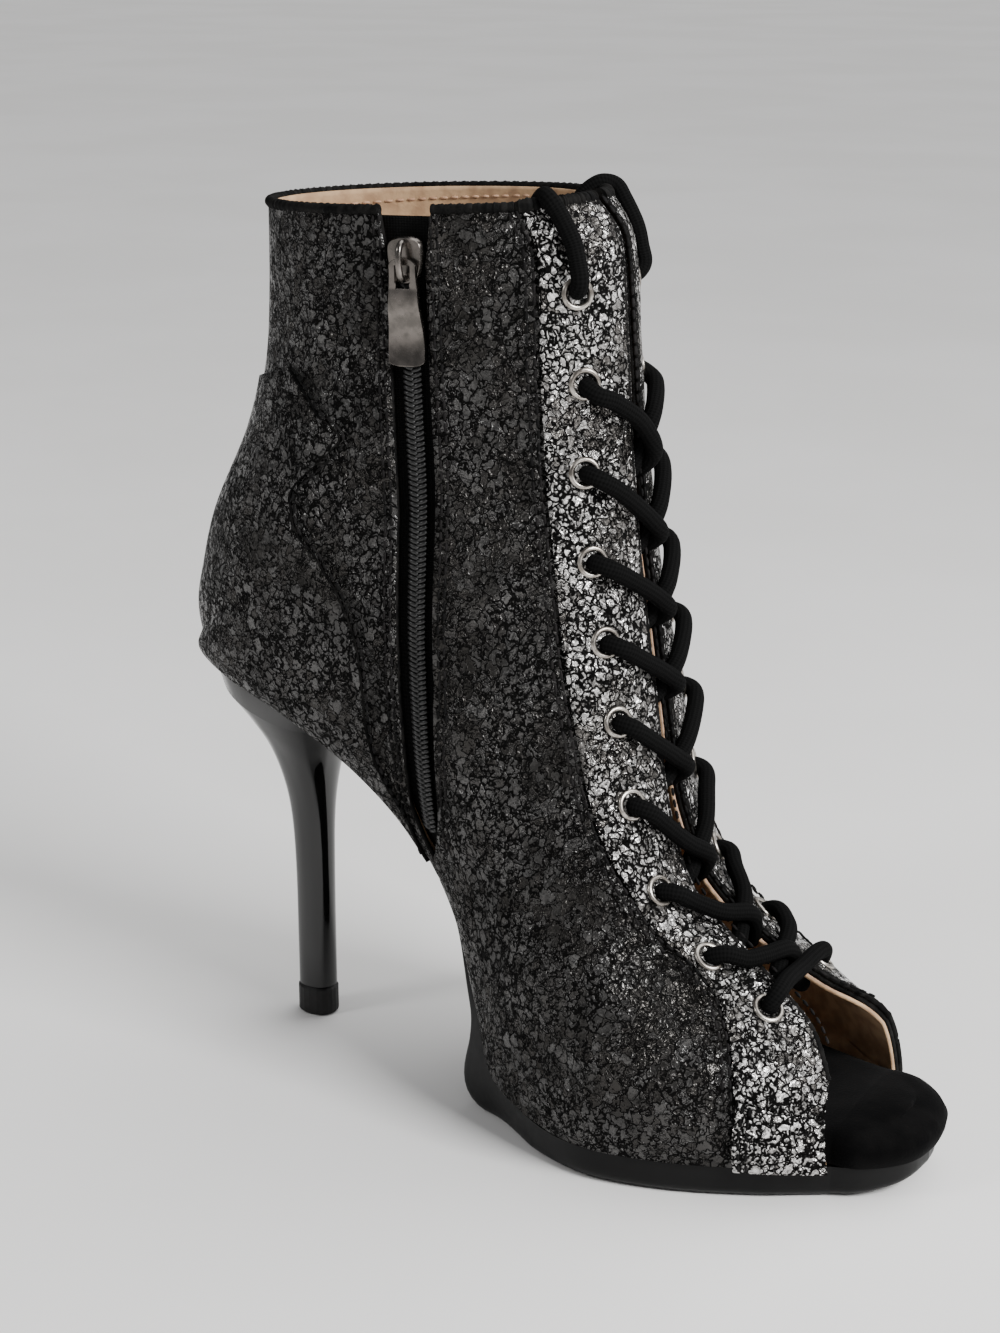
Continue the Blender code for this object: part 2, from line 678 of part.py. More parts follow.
def slab(name, stations, layers, finish):
    """A loft through the stations. Each layer is an inset of the edge and a drop from the line."""
    rings = []
    count = len(stations["x"])
    placed = [(sole_edges(stations, inset), np.broadcast_to(drop, count)) for inset, drop in layers]
    for row in range(count):
        medial = []
        lateral = []
        for (edges, down), drop in placed:
            move = down[row] * drop[row]
            medial.append(edges[-1][row] + move)
            lateral.append(edges[1][row] + move)
        for point in (*medial, *lateral):
            point[2] = max(point[2], 0.0)
        top_middle = (medial[0] + lateral[0]) / 2
        bottom_middle = (medial[-1] + lateral[-1]) / 2
        rings.append([top_middle, *medial, bottom_middle, *lateral[::-1]])
    return joined_rings(name, rings, finish)


def drop_profile(stations, near_toe, near_ball, near_seat):
    """A thickness that changes from the toe over the ball to the seat."""
    places = (0.0, 0.20, 0.43, 0.70)
    return np.interp(stations["position"], places, (near_toe, near_ball, near_seat, near_seat))


def make_footbed():
    """The suede covered footbed: a thick rounded toe in front of the vamp, then an insole."""
    stations = sole_stations(11, FOOTBED_POSITIONS)
    thick = drop_profile(stations, FOOTBED_TOE, FOOTBED_BALL, FOOTBED_SEAT)
    toe = stations["toe"]
    inside = WALL + CURVED_CLEARANCE
    edge = np.where(toe > 0, SUEDE_INSET, inside)
    bulge = toe * SUEDE_BULGE
    layers = (
        (edge + thick * 0.75, -thick),
        (edge + thick * 0.28, -thick * 0.90),
        (edge - bulge, -thick * 0.52),
        (edge, -CLEARANCE * 0.5),
    )
    return slab("footbed", stations, layers, "suede")


def make_outsole():
    """The platform with its toe spring and its steep back, and the thin cover of the arch."""
    stations = sole_stations(9, OUTSOLE_POSITIONS)
    place = stations["position"]
    share = np.interp(place, OUTSOLE_PLACES, OUTSOLE_DEPTHS)
    _, down = sole_edges(stations, np.zeros_like(place))
    to_floor = (stations["z"] - stations["spring"]) / -down[:, 2]
    thick = np.minimum(np.maximum(PLATFORM * share, ARCH_COVER), to_floor)
    edge = np.interp(place, (0.0, 0.24, 0.34), (SOLE_INSET_TOE, 0.0, SOLE_INSET_ARCH))
    gap = np.full_like(place, CLEARANCE)
    round_off = np.minimum(thick * 0.35, SOLE_ROUND)
    tuck = np.interp(place, TUCK_PLACES, TUCK_SHARES) * BALL_WIDTH
    layers = (
        (edge, gap),
        (edge + tuck * 0.85, thick - round_off),
        (edge + tuck + round_off * 0.3, thick - round_off * 0.3),
        (edge + tuck + round_off * 1.1, thick),
    )
    return slab("outsole", stations, layers, "sole_black")


def make_heel():
    """The stiletto heel: rings that rise from the tip and lean into the seat's slope."""
    count = 20
    names = HEEL_COLUMNS
    rings = [heel_ring(-STEM_LENGTH / 2, STEM_LENGTH / 2, TIP_HEIGHT + CLEARANCE, TIP_HEIGHT + CLEARANCE,
                       STEM_WIDTH / 2, count)]
    for row in HEEL_RINGS:
        value = dict(zip(names, row))
        rings.append(heel_ring(
            value["back_x"] * SHOE_LENGTH, value["front_x"] * SHOE_LENGTH,
            value["back_z"] * HEEL_LIFT, value["front_z"] * HEEL_LIFT,
            value["half_width"] * BALL_WIDTH, count,
        ))
    rings += seat_rings(count)
    return joined_rings("heel", rings, "heel_gloss")


def heel_ring(back, front, back_z, front_z, half_width, count):
    """A rounded ring, blunter at its front, between a back and a front point."""
    ring = []
    for corner in range(count):
        angle = 2 * math.pi * corner / count
        along = math.cos(angle)
        power = 0.75 if along > 0 else 1.0
        share = (1 + math.copysign(abs(along) ** power, along)) / 2
        ring.append(np.array([
            back + (front - back) * share, half_width * math.sin(angle), back_z + (front_z - back_z) * share,
        ]))
    return ring


def seat_height(x):
    """The height of the sole line over a place under the heel's seat."""
    places = section(SEAT_POSITIONS)
    order = np.argsort(places["back_x"])
    return np.interp(x, places["back_x"][order], places["back_z"][order])


def seat_half_width(x):
    """Half the sole line's width over a place under the heel's seat."""
    places = section(SEAT_POSITIONS)
    order = np.argsort(places["back_x"])
    return np.interp(x, places["back_x"][order], places["sole_medial"][order])


def seat_rings(count):
    """The rings of the heel's top: its rim under the feather edge, then smaller ones across."""
    rings = []
    back = section(np.array([SEAT_POSITIONS[-1]]))["back_x"][0] + HEEL_INSET
    front = BREAST_X * SHOE_LENGTH
    for scale in (1.0, 0.6, 0.15):
        ring = []
        for corner in range(count):
            angle = 2 * math.pi * corner / count
            along = math.cos(angle)
            power = 0.55 if along > 0 else 1.0
            share = (1 + math.copysign(abs(along) ** power, along)) / 2
            x = back + (front - back) * (0.5 + (share - 0.5) * scale)
            rim = max(seat_half_width(back + (front - back) * share) - HEEL_INSET, 0.0)
            y = math.copysign(rim, math.sin(angle)) if abs(math.sin(angle)) > 1e-6 else 0.0
            if along > 0:
                y = y * abs(math.sin(angle)) ** 0.35
            ring.append(np.array([x, y * scale, seat_height(x) - CLEARANCE - SEAT_DROP]))
        rings.append(ring)
    return rings


def make_heel_tip():
    """The heel's top lift, a little proud of the stem, flat on the floor."""
    count = 20
    round_off = 0.0006
    rings = []
    for height, less in ((0.0, round_off), (round_off, 0.0), (TIP_HEIGHT - round_off, 0.0), (TIP_HEIGHT, round_off)):
        rings.append(heel_ring(
            -TIP_LENGTH / 2 + less, TIP_LENGTH / 2 - less, height, height, TIP_WIDTH / 2 - less, count))
    return joined_rings("heel_tip", rings, "sole_black")


def turned_ring(name, centre, tangent, normal, across, profile, count, finish):
    """A ring turned about a normal from a closed profile of radius and height."""
    points = []
    faces = []
    for corner in range(count):
        angle = 2 * math.pi * corner / count
        spoke = tangent * math.cos(angle) + across * math.sin(angle)
        points += [centre + spoke * radius + normal * height for radius, height in profile]
    size = len(profile)
    for corner in range(count):
        following = (corner + 1) % count
        for point in range(size):
            after = (point + 1) % size
            faces.append((
                corner * size + point, corner * size + after,
                following * size + after, following * size + point,
            ))
    return face_outward(make_object(name, points, faces, finish))


def make_eyelets():
    """Ten eyelets on each facing: a domed ring on the panel and a barrel through both walls."""
    seat = CURVED_CLEARANCE + OVERLAY + CURVED_CLEARANCE
    hole = EYELET_HOLE / 2
    ring = EYELET_RING / 2
    barrel = EYELET_BARREL / 2
    profile = (
        (hole, seat + EYELET_RISE * 0.5), (hole + (ring - hole) * 0.45, seat + EYELET_RISE),
        (ring, seat + EYELET_RISE * 0.2), (ring * 0.93, seat), (barrel, seat),
        (barrel, -WALL - 0.0004), (hole, -WALL - 0.0004),
    )
    for side in SIDES:
        for number, (position, turn) in enumerate(EYELETS, 1):
            centre, tangent, normal, across = local_frame(position, turn, side)
            name = f"eyelet_{SIDE_NAMES[side]}_{number}"
            turned_ring(name, centre, tangent, normal, across, profile, EYELET_SIDES, "antique_silver")


def make_lace():
    """The strands between the facings, and the two ends that go over the collar."""
    over_eyelet = 2 * CURVED_CLEARANCE + OVERLAY + EYELET_RISE + CURVED_CLEARANCE + LACE / 2
    for number in range(2, len(EYELETS) + 1):
        position, turn = EYELETS[number - 1]
        if number < len(EYELETS):
            middle = (position + EYELETS[number][0]) / 2
            name = f"lace_crossing_{number}"
        else:
            middle = position
            name = "lace_bottom_bar"
        half = []
        for share in (0.0, 0.35, 0.7):
            place = np.array([position + (middle - position) * share])
            spin = np.array([turn + (1 - turn) * share])
            half.append((place, spin, over_eyelet))
        medial = [skin(place, spin, -1, height)[0] for place, spin, height in half]
        lateral = [skin(place, spin, 1, height)[0] for place, spin, height in half]
        size = section(np.array([middle]))
        crown = skin(np.array([middle]), np.array([1.0]), 1, over_eyelet)[0]
        crown[1] = size["swing"][0]
        tube(name, smooth_route([*medial, crown, *lateral[::-1]], 9), LACE, "lace_black")
    for side in SIDES:
        outside, inside = (
            [skin(np.array([place]), np.array([spin]), side, height)[0] for place, spin, height in route]
            for route in (LACE_END_ROUTE, LACE_END_INSIDE)
        )
        rim = (outside[-1] + inside[0]) / 2
        rim[2] += LACE_END_OVER
        tube("lace_end_" + SIDE_NAMES[side], smooth_route([*outside, rim, *inside], 15), LACE, "lace_black")


def make_zip():
    """The tape behind the slot, the closed coil in it, the slider and the pull tab."""
    tape_top = -WALL - CURVED_CLEARANCE
    zip_strip("zip_tape", ZIP_LOW - 0.004, 0.985, 18, ZIP_TAPE / 2, tape_top - ZIP_TAPE_THICKNESS, tape_top, "zip_black")
    coil_top = SLIDER_PLACE - 0.045
    zip_strip("zip_coil", ZIP_LOW + 0.012, coil_top, 18, ZIP_COIL / 2, tape_top + CLEARANCE, COIL_SINK, "zip_black")
    frame = local_frame(SLIDER_PLACE, zip_turn(SLIDER_PLACE), -1)
    make_slider(frame)
    make_pull(frame)


def frame_matrix(frame, height):
    """The placement of a piece whose own X is across the zip, Y toward the collar, Z outward."""
    point, tangent, normal, across = frame
    place = point + normal * height
    across = np.cross(tangent, normal)
    return Matrix((
        (across[0], tangent[0], normal[0], place[0]),
        (across[1], tangent[1], normal[1], place[1]),
        (across[2], tangent[2], normal[2], place[2]),
        (0, 0, 0, 1),
    ))


def box(work, size, centre):
    """A box added to a bmesh."""
    made = bmesh.ops.create_cube(work, size=1.0)["verts"]
    bmesh.ops.scale(work, vec=Vector(size), verts=made)
    bmesh.ops.translate(work, vec=Vector(centre), verts=made)
    return made


def box_object(name, size, centre, finish, collection=PART_NAME):
    """A box as an object of its own."""
    mesh = bpy.data.meshes.new(name)
    work = bmesh.new()
    box(work, size, centre)
    work.to_mesh(mesh)
    work.free()
    mesh.materials.append(material(finish))
    made = bpy.data.objects.new(name, mesh)
    bpy.data.collections[collection].objects.link(made)
    return made


def make_slider(frame):
    """The slider's body in the slot, with the bridge that holds the pull tab."""
    foot = -WALL - CURVED_CLEARANCE + CLEARANCE
    top = SLIDER_HEIGHT - WALL
    body_width = min(SLIDER_WIDTH, ZIP_SLOT - 4 * CLEARANCE)
    slider = box_object(
        "zip_slider", (body_width, SLIDER_LENGTH, top - foot), (0, 0, (top + foot) / 2), "gunmetal")
    soften = slider.modifiers.new("rounded", "BEVEL")
    soften.width = 0.0009
    soften.segments = 2
    bridge_top = top + BRIDGE_CLEAR + BRIDGE_BAR
    bridge = box_object(
        "bridge_block", (BRIDGE_WIDTH, BRIDGE_LENGTH, bridge_top - top + 0.0005),
        (0, 0, (bridge_top + top - 0.0005) / 2), "gunmetal", "cutters")
    hole = box_object(
        "bridge_hole", (BRIDGE_WIDTH * 2, BRIDGE_LENGTH - 2 * BRIDGE_BAR, BRIDGE_CLEAR),
        (0, 0, top + BRIDGE_CLEAR / 2), "gunmetal", "cutters")
    placed = frame_matrix(frame, 0)
    for piece in (slider, bridge, hole):
        piece.matrix_world = placed
    for helper in (bridge, hole):
        hide_cutter(helper)
    add = slider.modifiers.new("bridge", "BOOLEAN")
    add.operation = "UNION"
    add.object = bridge
    add.solver = "EXACT"
    cut(slider, hole, "bridge opening")
    return slider


def make_pull(frame):
    """The pull tab. Its origin is on the hinge axis, in the middle of its crossbar."""
    axis_height = SLIDER_HEIGHT - WALL + BRIDGE_CLEAR / 2
    top = PULL_THICKNESS / 2
    pull = box_object(
        "zip_pull", (PULL_WIDTH, PULL_LENGTH, PULL_THICKNESS), (0, top - PULL_LENGTH / 2, 0), "gunmetal")
    eye_height = BRIDGE_LENGTH / 2 + 0.0026
    eye = box_object(
        "pull_eye", (BRIDGE_WIDTH + 0.0018, eye_height, PULL_THICKNESS * 3),
        (0, top - PULL_THICKNESS - eye_height / 2, 0), "gunmetal", "cutters")
    placed = frame_matrix(frame, axis_height)
    pull.matrix_world = placed
    eye.matrix_world = placed
    hide_cutter(eye)
    cut(pull, eye, "eye")
    return pull


def main():
    """Builds the whole shoe."""
    for leftover in list(bpy.data.objects):
        bpy.data.objects.remove(leftover, do_unlink=True)
    for name in (PART_NAME, "cutters"):
        collection = bpy.data.collections.new(name)
        bpy.context.scene.collection.children.link(collection)
    bpy.data.collections["cutters"].hide_render = True
    upper = make_upper()
    medial = make_eyestay(-1)
    lateral = make_eyestay(1)
    make_counter()
    holes = hole_cutters()
    for piece in (upper, medial, lateral):
        cut(piece, holes, "eyelet holes")
    make_footbed()
    make_outsole()
    make_heel()
    make_heel_tip()
    make_eyelets()
    make_lace()
    make_zip()


main()
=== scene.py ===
# %% [markdown]
# A high heel dance shoe, dressed around its frame.
# The shoe is one soft skin wrapped on a foot shape, so nearly every visible piece here is a
# stretch of the same surface: leather, lining, panels, stitches and even the lace's route.
# We first load the frame and then write that surface down once.

# %% Load the frame
"""Looks of the high heel dance shoe: crackled foil leather, suede toe, lace, zip and heel."""

import math

import bmesh
import bpy
import numpy as np
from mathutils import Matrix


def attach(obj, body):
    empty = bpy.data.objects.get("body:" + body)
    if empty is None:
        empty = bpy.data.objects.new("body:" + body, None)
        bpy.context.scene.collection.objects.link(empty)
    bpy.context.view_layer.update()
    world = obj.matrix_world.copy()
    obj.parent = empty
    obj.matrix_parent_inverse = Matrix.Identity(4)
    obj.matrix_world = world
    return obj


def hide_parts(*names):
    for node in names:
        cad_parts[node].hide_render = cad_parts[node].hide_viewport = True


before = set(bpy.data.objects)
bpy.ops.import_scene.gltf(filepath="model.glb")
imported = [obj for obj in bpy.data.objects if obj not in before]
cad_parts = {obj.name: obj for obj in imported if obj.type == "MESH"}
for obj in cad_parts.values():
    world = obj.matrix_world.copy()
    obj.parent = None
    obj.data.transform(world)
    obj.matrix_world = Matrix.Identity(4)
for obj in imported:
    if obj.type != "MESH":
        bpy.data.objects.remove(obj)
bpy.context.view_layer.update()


def in_scene(name, data):
    """An object that holds the data, linked into the scene."""
    made = bpy.data.objects.new(name, data)
    bpy.context.scene.collection.objects.link(made)
    return made


# %% [markdown]
# The camera and the sizes come first. The camera stands to the front of the medial side and
# looks down a little. The sizes are the same named values as in the model's source, because
# a piece that replaces a solid has to stay where that solid is.

# %% Camera and sizes
camera_data = bpy.data.cameras.new("camera")
camera_data.sensor_fit = "VERTICAL"
camera_data.sensor_height = 36.0
camera_data.lens = 67.5
camera = in_scene("camera", camera_data)
camera.location = (0.350, -0.518, 0.297)
camera.rotation_euler = (math.radians(90 - 17.7), 0, math.radians(29.5))
bpy.context.scene.camera = camera

SHOE_LENGTH = 0.2090
BALL_WIDTH = 0.0830
PLATFORM = 0.0086
HEEL_LIFT = 0.0946
INSTEP_HEIGHT = 0.0547
SHAFT_RISE = 0.1166
COLLAR_SLOPE = 0.0048
WALL = 0.0022
OVERLAY = 0.0013
LACE = 0.0043
ZIP_SLOT = 0.0100
SIDES = (-1, 1)
SIDE_NAMES = {-1: "medial", 1: "lateral"}
print("sizes set for a shoe of", SHOE_LENGTH, "m")

# %% [markdown]
# The foot shape is a fan of slanted sections. Each row of the tables is one section, from
# the front edge of the vamp to the collar. Between rows a Catmull-Rom curve fills in.

# %% Tables of the foot shape
LINE_COLUMNS = ("back_x", "lift", "shaft", "ridge_x", "instep", "rise")
SECTION_LINES = np.array((
    (0.770, 0.000, 0.000, 0.754, 0.561, 0.000),
    (0.736, 0.000, 0.000, 0.726, 0.579, 0.000),
    (0.690, 0.000, 0.000, 0.690, 0.632, 0.000),
    (0.602, 0.000, 0.000, 0.621, 0.789, 0.000),
    (0.510, 0.000, 0.000, 0.556, 1.000, 0.000),
    (0.430, 0.010, 0.000, 0.522, 1.000, 0.089),
    (0.356, 0.056, 0.000, 0.503, 1.000, 0.173),
    (0.315, 0.200, 0.000, 0.490, 1.000, 0.256),
    (0.272, 0.428, 0.000, 0.478, 1.000, 0.339),
    (0.213, 0.621, 0.000, 0.467, 1.000, 0.423),
    (0.136, 0.774, 0.000, 0.457, 1.000, 0.500),
    (0.041, 0.895, 0.000, 0.451, 1.000, 0.577),
    (-0.055, 0.965, 0.000, 0.446, 1.000, 0.643),
    (-0.117, 1.000, 0.000, 0.443, 1.000, 0.702),
    (-0.137, 1.000, 0.022, 0.4415, 1.000, 0.729),
    (-0.140, 1.000, 0.111, 0.440, 1.000, 0.756),
    (-0.113, 1.000, 0.300, 0.436, 1.000, 0.815),
    (-0.061, 1.000, 0.498, 0.433, 1.000, 0.869),
    (-0.037, 1.000, 0.654, 0.429, 1.000, 0.917),
    (-0.029, 1.000, 0.811, 0.421, 1.000, 0.958),
    (-0.027, 1.000, 1.000, 0.393, 1.000, 1.000),
))
WIDTH_COLUMNS = (
    "sole_medial", "sole_lateral", "wide_medial", "wide_lateral",
    "wide_height", "swing", "lower_curve", "upper_curve", "half_gap",
)
SECTION_WIDTHS = np.array((
    (0.277, 0.277, 0.289, 0.289, 0.15, -0.075, 1.25, 2.0, 0.231),
    (0.318, 0.312, 0.335, 0.329, 0.18, -0.081, 1.25, 2.0, 0.150),
    (0.376, 0.358, 0.393, 0.382, 0.24, -0.083, 1.25, 2.0, 0.104),
    (0.462, 0.428, 0.491, 0.457, 0.30, -0.081, 1.25, 2.0, 0.069),
    (0.503, 0.474, 0.520, 0.491, 0.30, -0.073, 1.25, 2.0, 0.064),
    (0.462, 0.439, 0.491, 0.474, 0.30, -0.058, 1.30, 2.0, 0.052),
    (0.387, 0.382, 0.451, 0.451, 0.32, -0.040, 1.40, 2.0, 0.046),
    (0.312, 0.312, 0.410, 0.422, 0.34, -0.023, 1.50, 2.1, 0.040),
    (0.266, 0.266, 0.387, 0.393, 0.36, -0.012, 1.60, 2.1, 0.037),
    (0.253, 0.254, 0.376, 0.376, 0.38, -0.006, 1.60, 2.1, 0.035),
    (0.266, 0.272, 0.370, 0.370, 0.40, 0.000, 1.70, 2.1, 0.032),
    (0.277, 0.277, 0.370, 0.370, 0.42, 0.000, 1.80, 2.1, 0.030),
    (0.235, 0.235, 0.364, 0.364, 0.42, 0.000, 1.90, 2.1, 0.029),
    (0.127, 0.127, 0.358, 0.358, 0.42, 0.000, 2.00, 2.1, 0.027),
    (0.000, 0.000, 0.355, 0.355, 0.42, 0.000, 2.00, 2.1, 0.026),
    (0.000, 0.000, 0.353, 0.353, 0.42, 0.000, 2.00, 2.1, 0.025),
    (0.000, 0.000, 0.347, 0.347, 0.43, 0.000, 2.00, 2.1, 0.023),
    (0.000, 0.000, 0.335, 0.335, 0.45, 0.000, 2.00, 2.1, 0.022),
    (0.000, 0.000, 0.324, 0.324, 0.47, 0.000, 2.00, 2.1, 0.021),
    (0.000, 0.000, 0.318, 0.318, 0.48, 0.000, 2.00, 2.1, 0.020),
    (0.000, 0.000, 0.318, 0.318, 0.50, 0.000, 2.00, 2.2, 0.020),
))
EYESTAY_EDGE = (
    (0.109, 0.600), (0.117, 0.691), (0.135, 0.791),
    (0.160, 0.835), (0.201, 0.828), (0.287, 0.783), (0.366, 0.743), (0.434, 0.739),
    (0.505, 0.760), (0.599, 0.786), (0.770, 0.794), (0.887, 0.773), (1.000, 0.772),
)
COUNTER_EDGE = (
    (0.428, 0.000), (0.451, 0.120), (0.483, 0.189), (0.504, 0.252), (0.533, 0.356),
    (0.576, 0.453), (0.610, 0.490), (0.659, 0.502), (0.729, 0.491), (0.772, 0.452),
    (0.790, 0.446), (0.803, 0.500), (0.844, 0.421), (0.888, 0.310),
)
ZIP_ROUTE = (
    (0.395, 0.000), (0.433, 0.160), (0.466, 0.318), (0.506, 0.455), (0.554, 0.540),
    (0.626, 0.602), (0.772, 0.617), (0.855, 0.576), (0.928, 0.545), (1.000, 0.552),
)
EYELETS = (
    (0.871, 0.846), (0.761, 0.866), (0.600, 0.852), (0.512, 0.837), (0.439, 0.835),
    (0.372, 0.840), (0.298, 0.855), (0.220, 0.874), (0.162, 0.870), (0.111, 0.848),
)
print("sections", len(SECTION_LINES), "eyelets a side", len(EYELETS))

# %% [markdown]
# Every point of the skin has a position, from 0 at the vamp's front to 1 at the collar, and
# a turn, from 0 at the sole to 1 at the ridge of the instep.

# %% The foot surface
def smooth_between(values, place):
    """Catmull-Rom: with s the share between rows, the cubic through rows b and c whose slopes
    are (c - a) / 2 and (d - b) / 2."""
    last = len(values) - 1
    place = np.clip(np.asarray(place, float), 0, last - 1e-9)
    row = np.floor(place).astype(int)
    part = place - row
    before = values[np.clip(row - 1, 0, last)]
    start = values[row]
    end = values[np.clip(row + 1, 0, last)]
    after = values[np.clip(row + 2, 0, last)]
    square = part * part
    cube = square * part
    return (
        (2 * cube - 3 * square + 1) * start + (cube - 2 * square + part) * (end - before) / 2
        + (3 * square - 2 * cube) * end + (cube - square) * (after - start) / 2
    )


def section(position):
    """The sizes of the section at a position, in metres: shares of the named sizes."""
    place = np.asarray(position, float) * (len(SECTION_LINES) - 1)
    line = {name: smooth_between(SECTION_LINES[:, i], place) for i, name in enumerate(LINE_COLUMNS)}
    width = {name: smooth_between(SECTION_WIDTHS[:, i], place) for i, name in enumerate(WIDTH_COLUMNS)}
    left_over = HEEL_LIFT + SHAFT_RISE + COLLAR_SLOPE - INSTEP_HEIGHT
    sizes = {
        "back_x": line["back_x"] * SHOE_LENGTH,
        "back_z": PLATFORM + line["lift"] * HEEL_LIFT + line["shaft"] * SHAFT_RISE,
        "ridge_x": line["ridge_x"] * SHOE_LENGTH,
        "ridge_z": PLATFORM + line["instep"] * INSTEP_HEIGHT + line["rise"] * left_over,
    }
    for name in ("wide_medial", "wide_lateral", "swing", "half_gap"):
        sizes[name] = width[name] * BALL_WIDTH
    for name in ("sole_medial", "sole_lateral"):
        sizes[name] = np.maximum(width[name] * BALL_WIDTH, 0.0)
    for name in ("wide_height", "lower_curve", "upper_curve"):
        sizes[name] = width[name]
    return sizes


def last_point(position, turn, side):
    """With a = pi * turn, H the section's length, m the widest height and p, q the curves:
    y = sole + (wide - sole) sin(a)^(2/p), h = H m (1 - cos(a)^(2/p)) below the widest point,
    y = wide sin(a)^(2/q), h = H (m + (1 - m)(-cos a)^(2/q)) above it."""
    size = section(position)
    angle = np.pi * np.asarray(turn, float)
    sine = np.clip(np.sin(angle), 0, 1)
    cosine = np.cos(angle)
    sole = size["sole_" + SIDE_NAMES[side]]
    wide = size["wide_" + SIDE_NAMES[side]]
    low = 2 / size["lower_curve"]
    high = 2 / size["upper_curve"]
    middle = size["wide_height"]
    below = angle <= np.pi / 2
    height = np.where(
        below,
        middle * (1 - np.clip(cosine, 0, 1) ** low),
        middle + (1 - middle) * np.clip(-cosine, 0, 1) ** high,
    )
    across = np.where(below, sole + (wide - sole) * sine**low, wide * sine**high)
    x = size["back_x"] + (size["ridge_x"] - size["back_x"]) * height
    y = size["swing"] + side * across
    z = size["back_z"] + (size["ridge_z"] - size["back_z"]) * height
    return np.stack([x, y, z], -1)


def last_slopes(position, turn, side):
    """Central differences of the surface along its position and its turn."""
    step = 0.004
    inner = np.clip(turn, 4 * step, 1 - step)
    place = np.clip(position, step, 1 - step)
    along = last_point(place + step, inner, side) - last_point(place - step, inner, side)
    around = last_point(place, inner + step, side) - last_point(place, inner - step, side)
    return along / (2 * step), around / (2 * step)


def last_normal(position, turn, side):
    """The outward unit normal: the cross product of both slopes."""
    along, around = last_slopes(position, turn, side)
    normal = np.cross(along, around) * side
    at_back_seam = (np.asarray(turn) <= 0) & (section(position)["sole_medial"] <= 0)
    normal[..., 1] = np.where(at_back_seam, 0.0, normal[..., 1])
    return normal / np.linalg.norm(normal, axis=-1, keepdims=True)


def skin(position, turn, side, height):
    """A point of the surface moved along its normal by a height."""
    position = np.asarray(position, float)
    turn = np.asarray(turn, float)
    raised = last_normal(position, turn, side) * np.asarray(height, float)[..., None]
    return last_point(position, turn, side) + raised


def facing_turn(position, side):
    """The turn at which a section meets the facing's edge: 1 - asin((gap / wide)^(q/2)) / pi."""
    size = section(position)
    share = np.clip(size["half_gap"] / size["wide_" + SIDE_NAMES[side]], 0, 1)
    return 1 - np.arcsin(share ** (size["upper_curve"] / 2)) / np.pi


def curve_through(table, at):
    """A cubic through given pairs, its slopes the mean of both neighbours' slopes."""
    places, values = np.array(table, float).T
    slopes = np.gradient(values, places)
    at = np.clip(at, places[0], places[-1])
    row = np.clip(np.searchsorted(places, at, side="right") - 1, 0, len(places) - 2)
    run = places[row + 1] - places[row]
    part = (at - places[row]) / run
    square = part * part
    cube = square * part
    return (
        (2 * cube - 3 * square + 1) * values[row] + (cube - 2 * square + part) * run * slopes[row]
        + (3 * square - 2 * cube) * values[row + 1] + (cube - square) * run * slopes[row + 1]
    )


def side_step(position, turn, side, tangent, distance):
    """The position and turn reached by a step across a line on the skin: least squares of the
    step on both slopes, solved as two equations."""
    along, around = last_slopes(position, turn, side)
    across = np.cross(last_normal(position, turn, side), tangent) * distance[..., None]
    aa = (along * along).sum(-1)
    bb = (around * around).sum(-1)
    ab = (along * around).sum(-1)
    ac = (along * across).sum(-1)
    bc = (around * across).sum(-1)
    least = aa * bb - ab * ab
    return position + (ac * bb - bc * ab) / least, turn + (bc * aa - ac * ab) / least


def unit(vectors):
    """Vectors divided by their lengths."""
    return vectors / np.linalg.norm(vectors, axis=-1, keepdims=True)


# %% [markdown]
# Shader maths reads better as a formula than as a list of nodes. One class wraps a socket
# and turns + - * / into Math nodes, and one method makes every other node.

# %% Shader helper
class Value:
    """A number or colour inside a shader, which can be used in a Python expression."""

    def __init__(self, finish, socket):
        self.finish = finish
        self.socket = socket

    def math(self, operation, first, second):
        return self.finish.node("ShaderNodeMath", {"operation": operation}, {0: first, 1: second})

    def __add__(self, other):
        return self.math("ADD", self, other)

    def __radd__(self, other):
        return self.math("ADD", other, self)

    def __sub__(self, other):
        return self.math("SUBTRACT", self, other)

    def __rsub__(self, other):
        return self.math("SUBTRACT", other, self)

    def __mul__(self, other):
        return self.math("MULTIPLY", self, other)

    def __rmul__(self, other):
        return self.math("MULTIPLY", other, self)

    def __truediv__(self, other):
        return self.math("DIVIDE", self, other)

    def __pow__(self, other):
        return self.math("POWER", self, other)


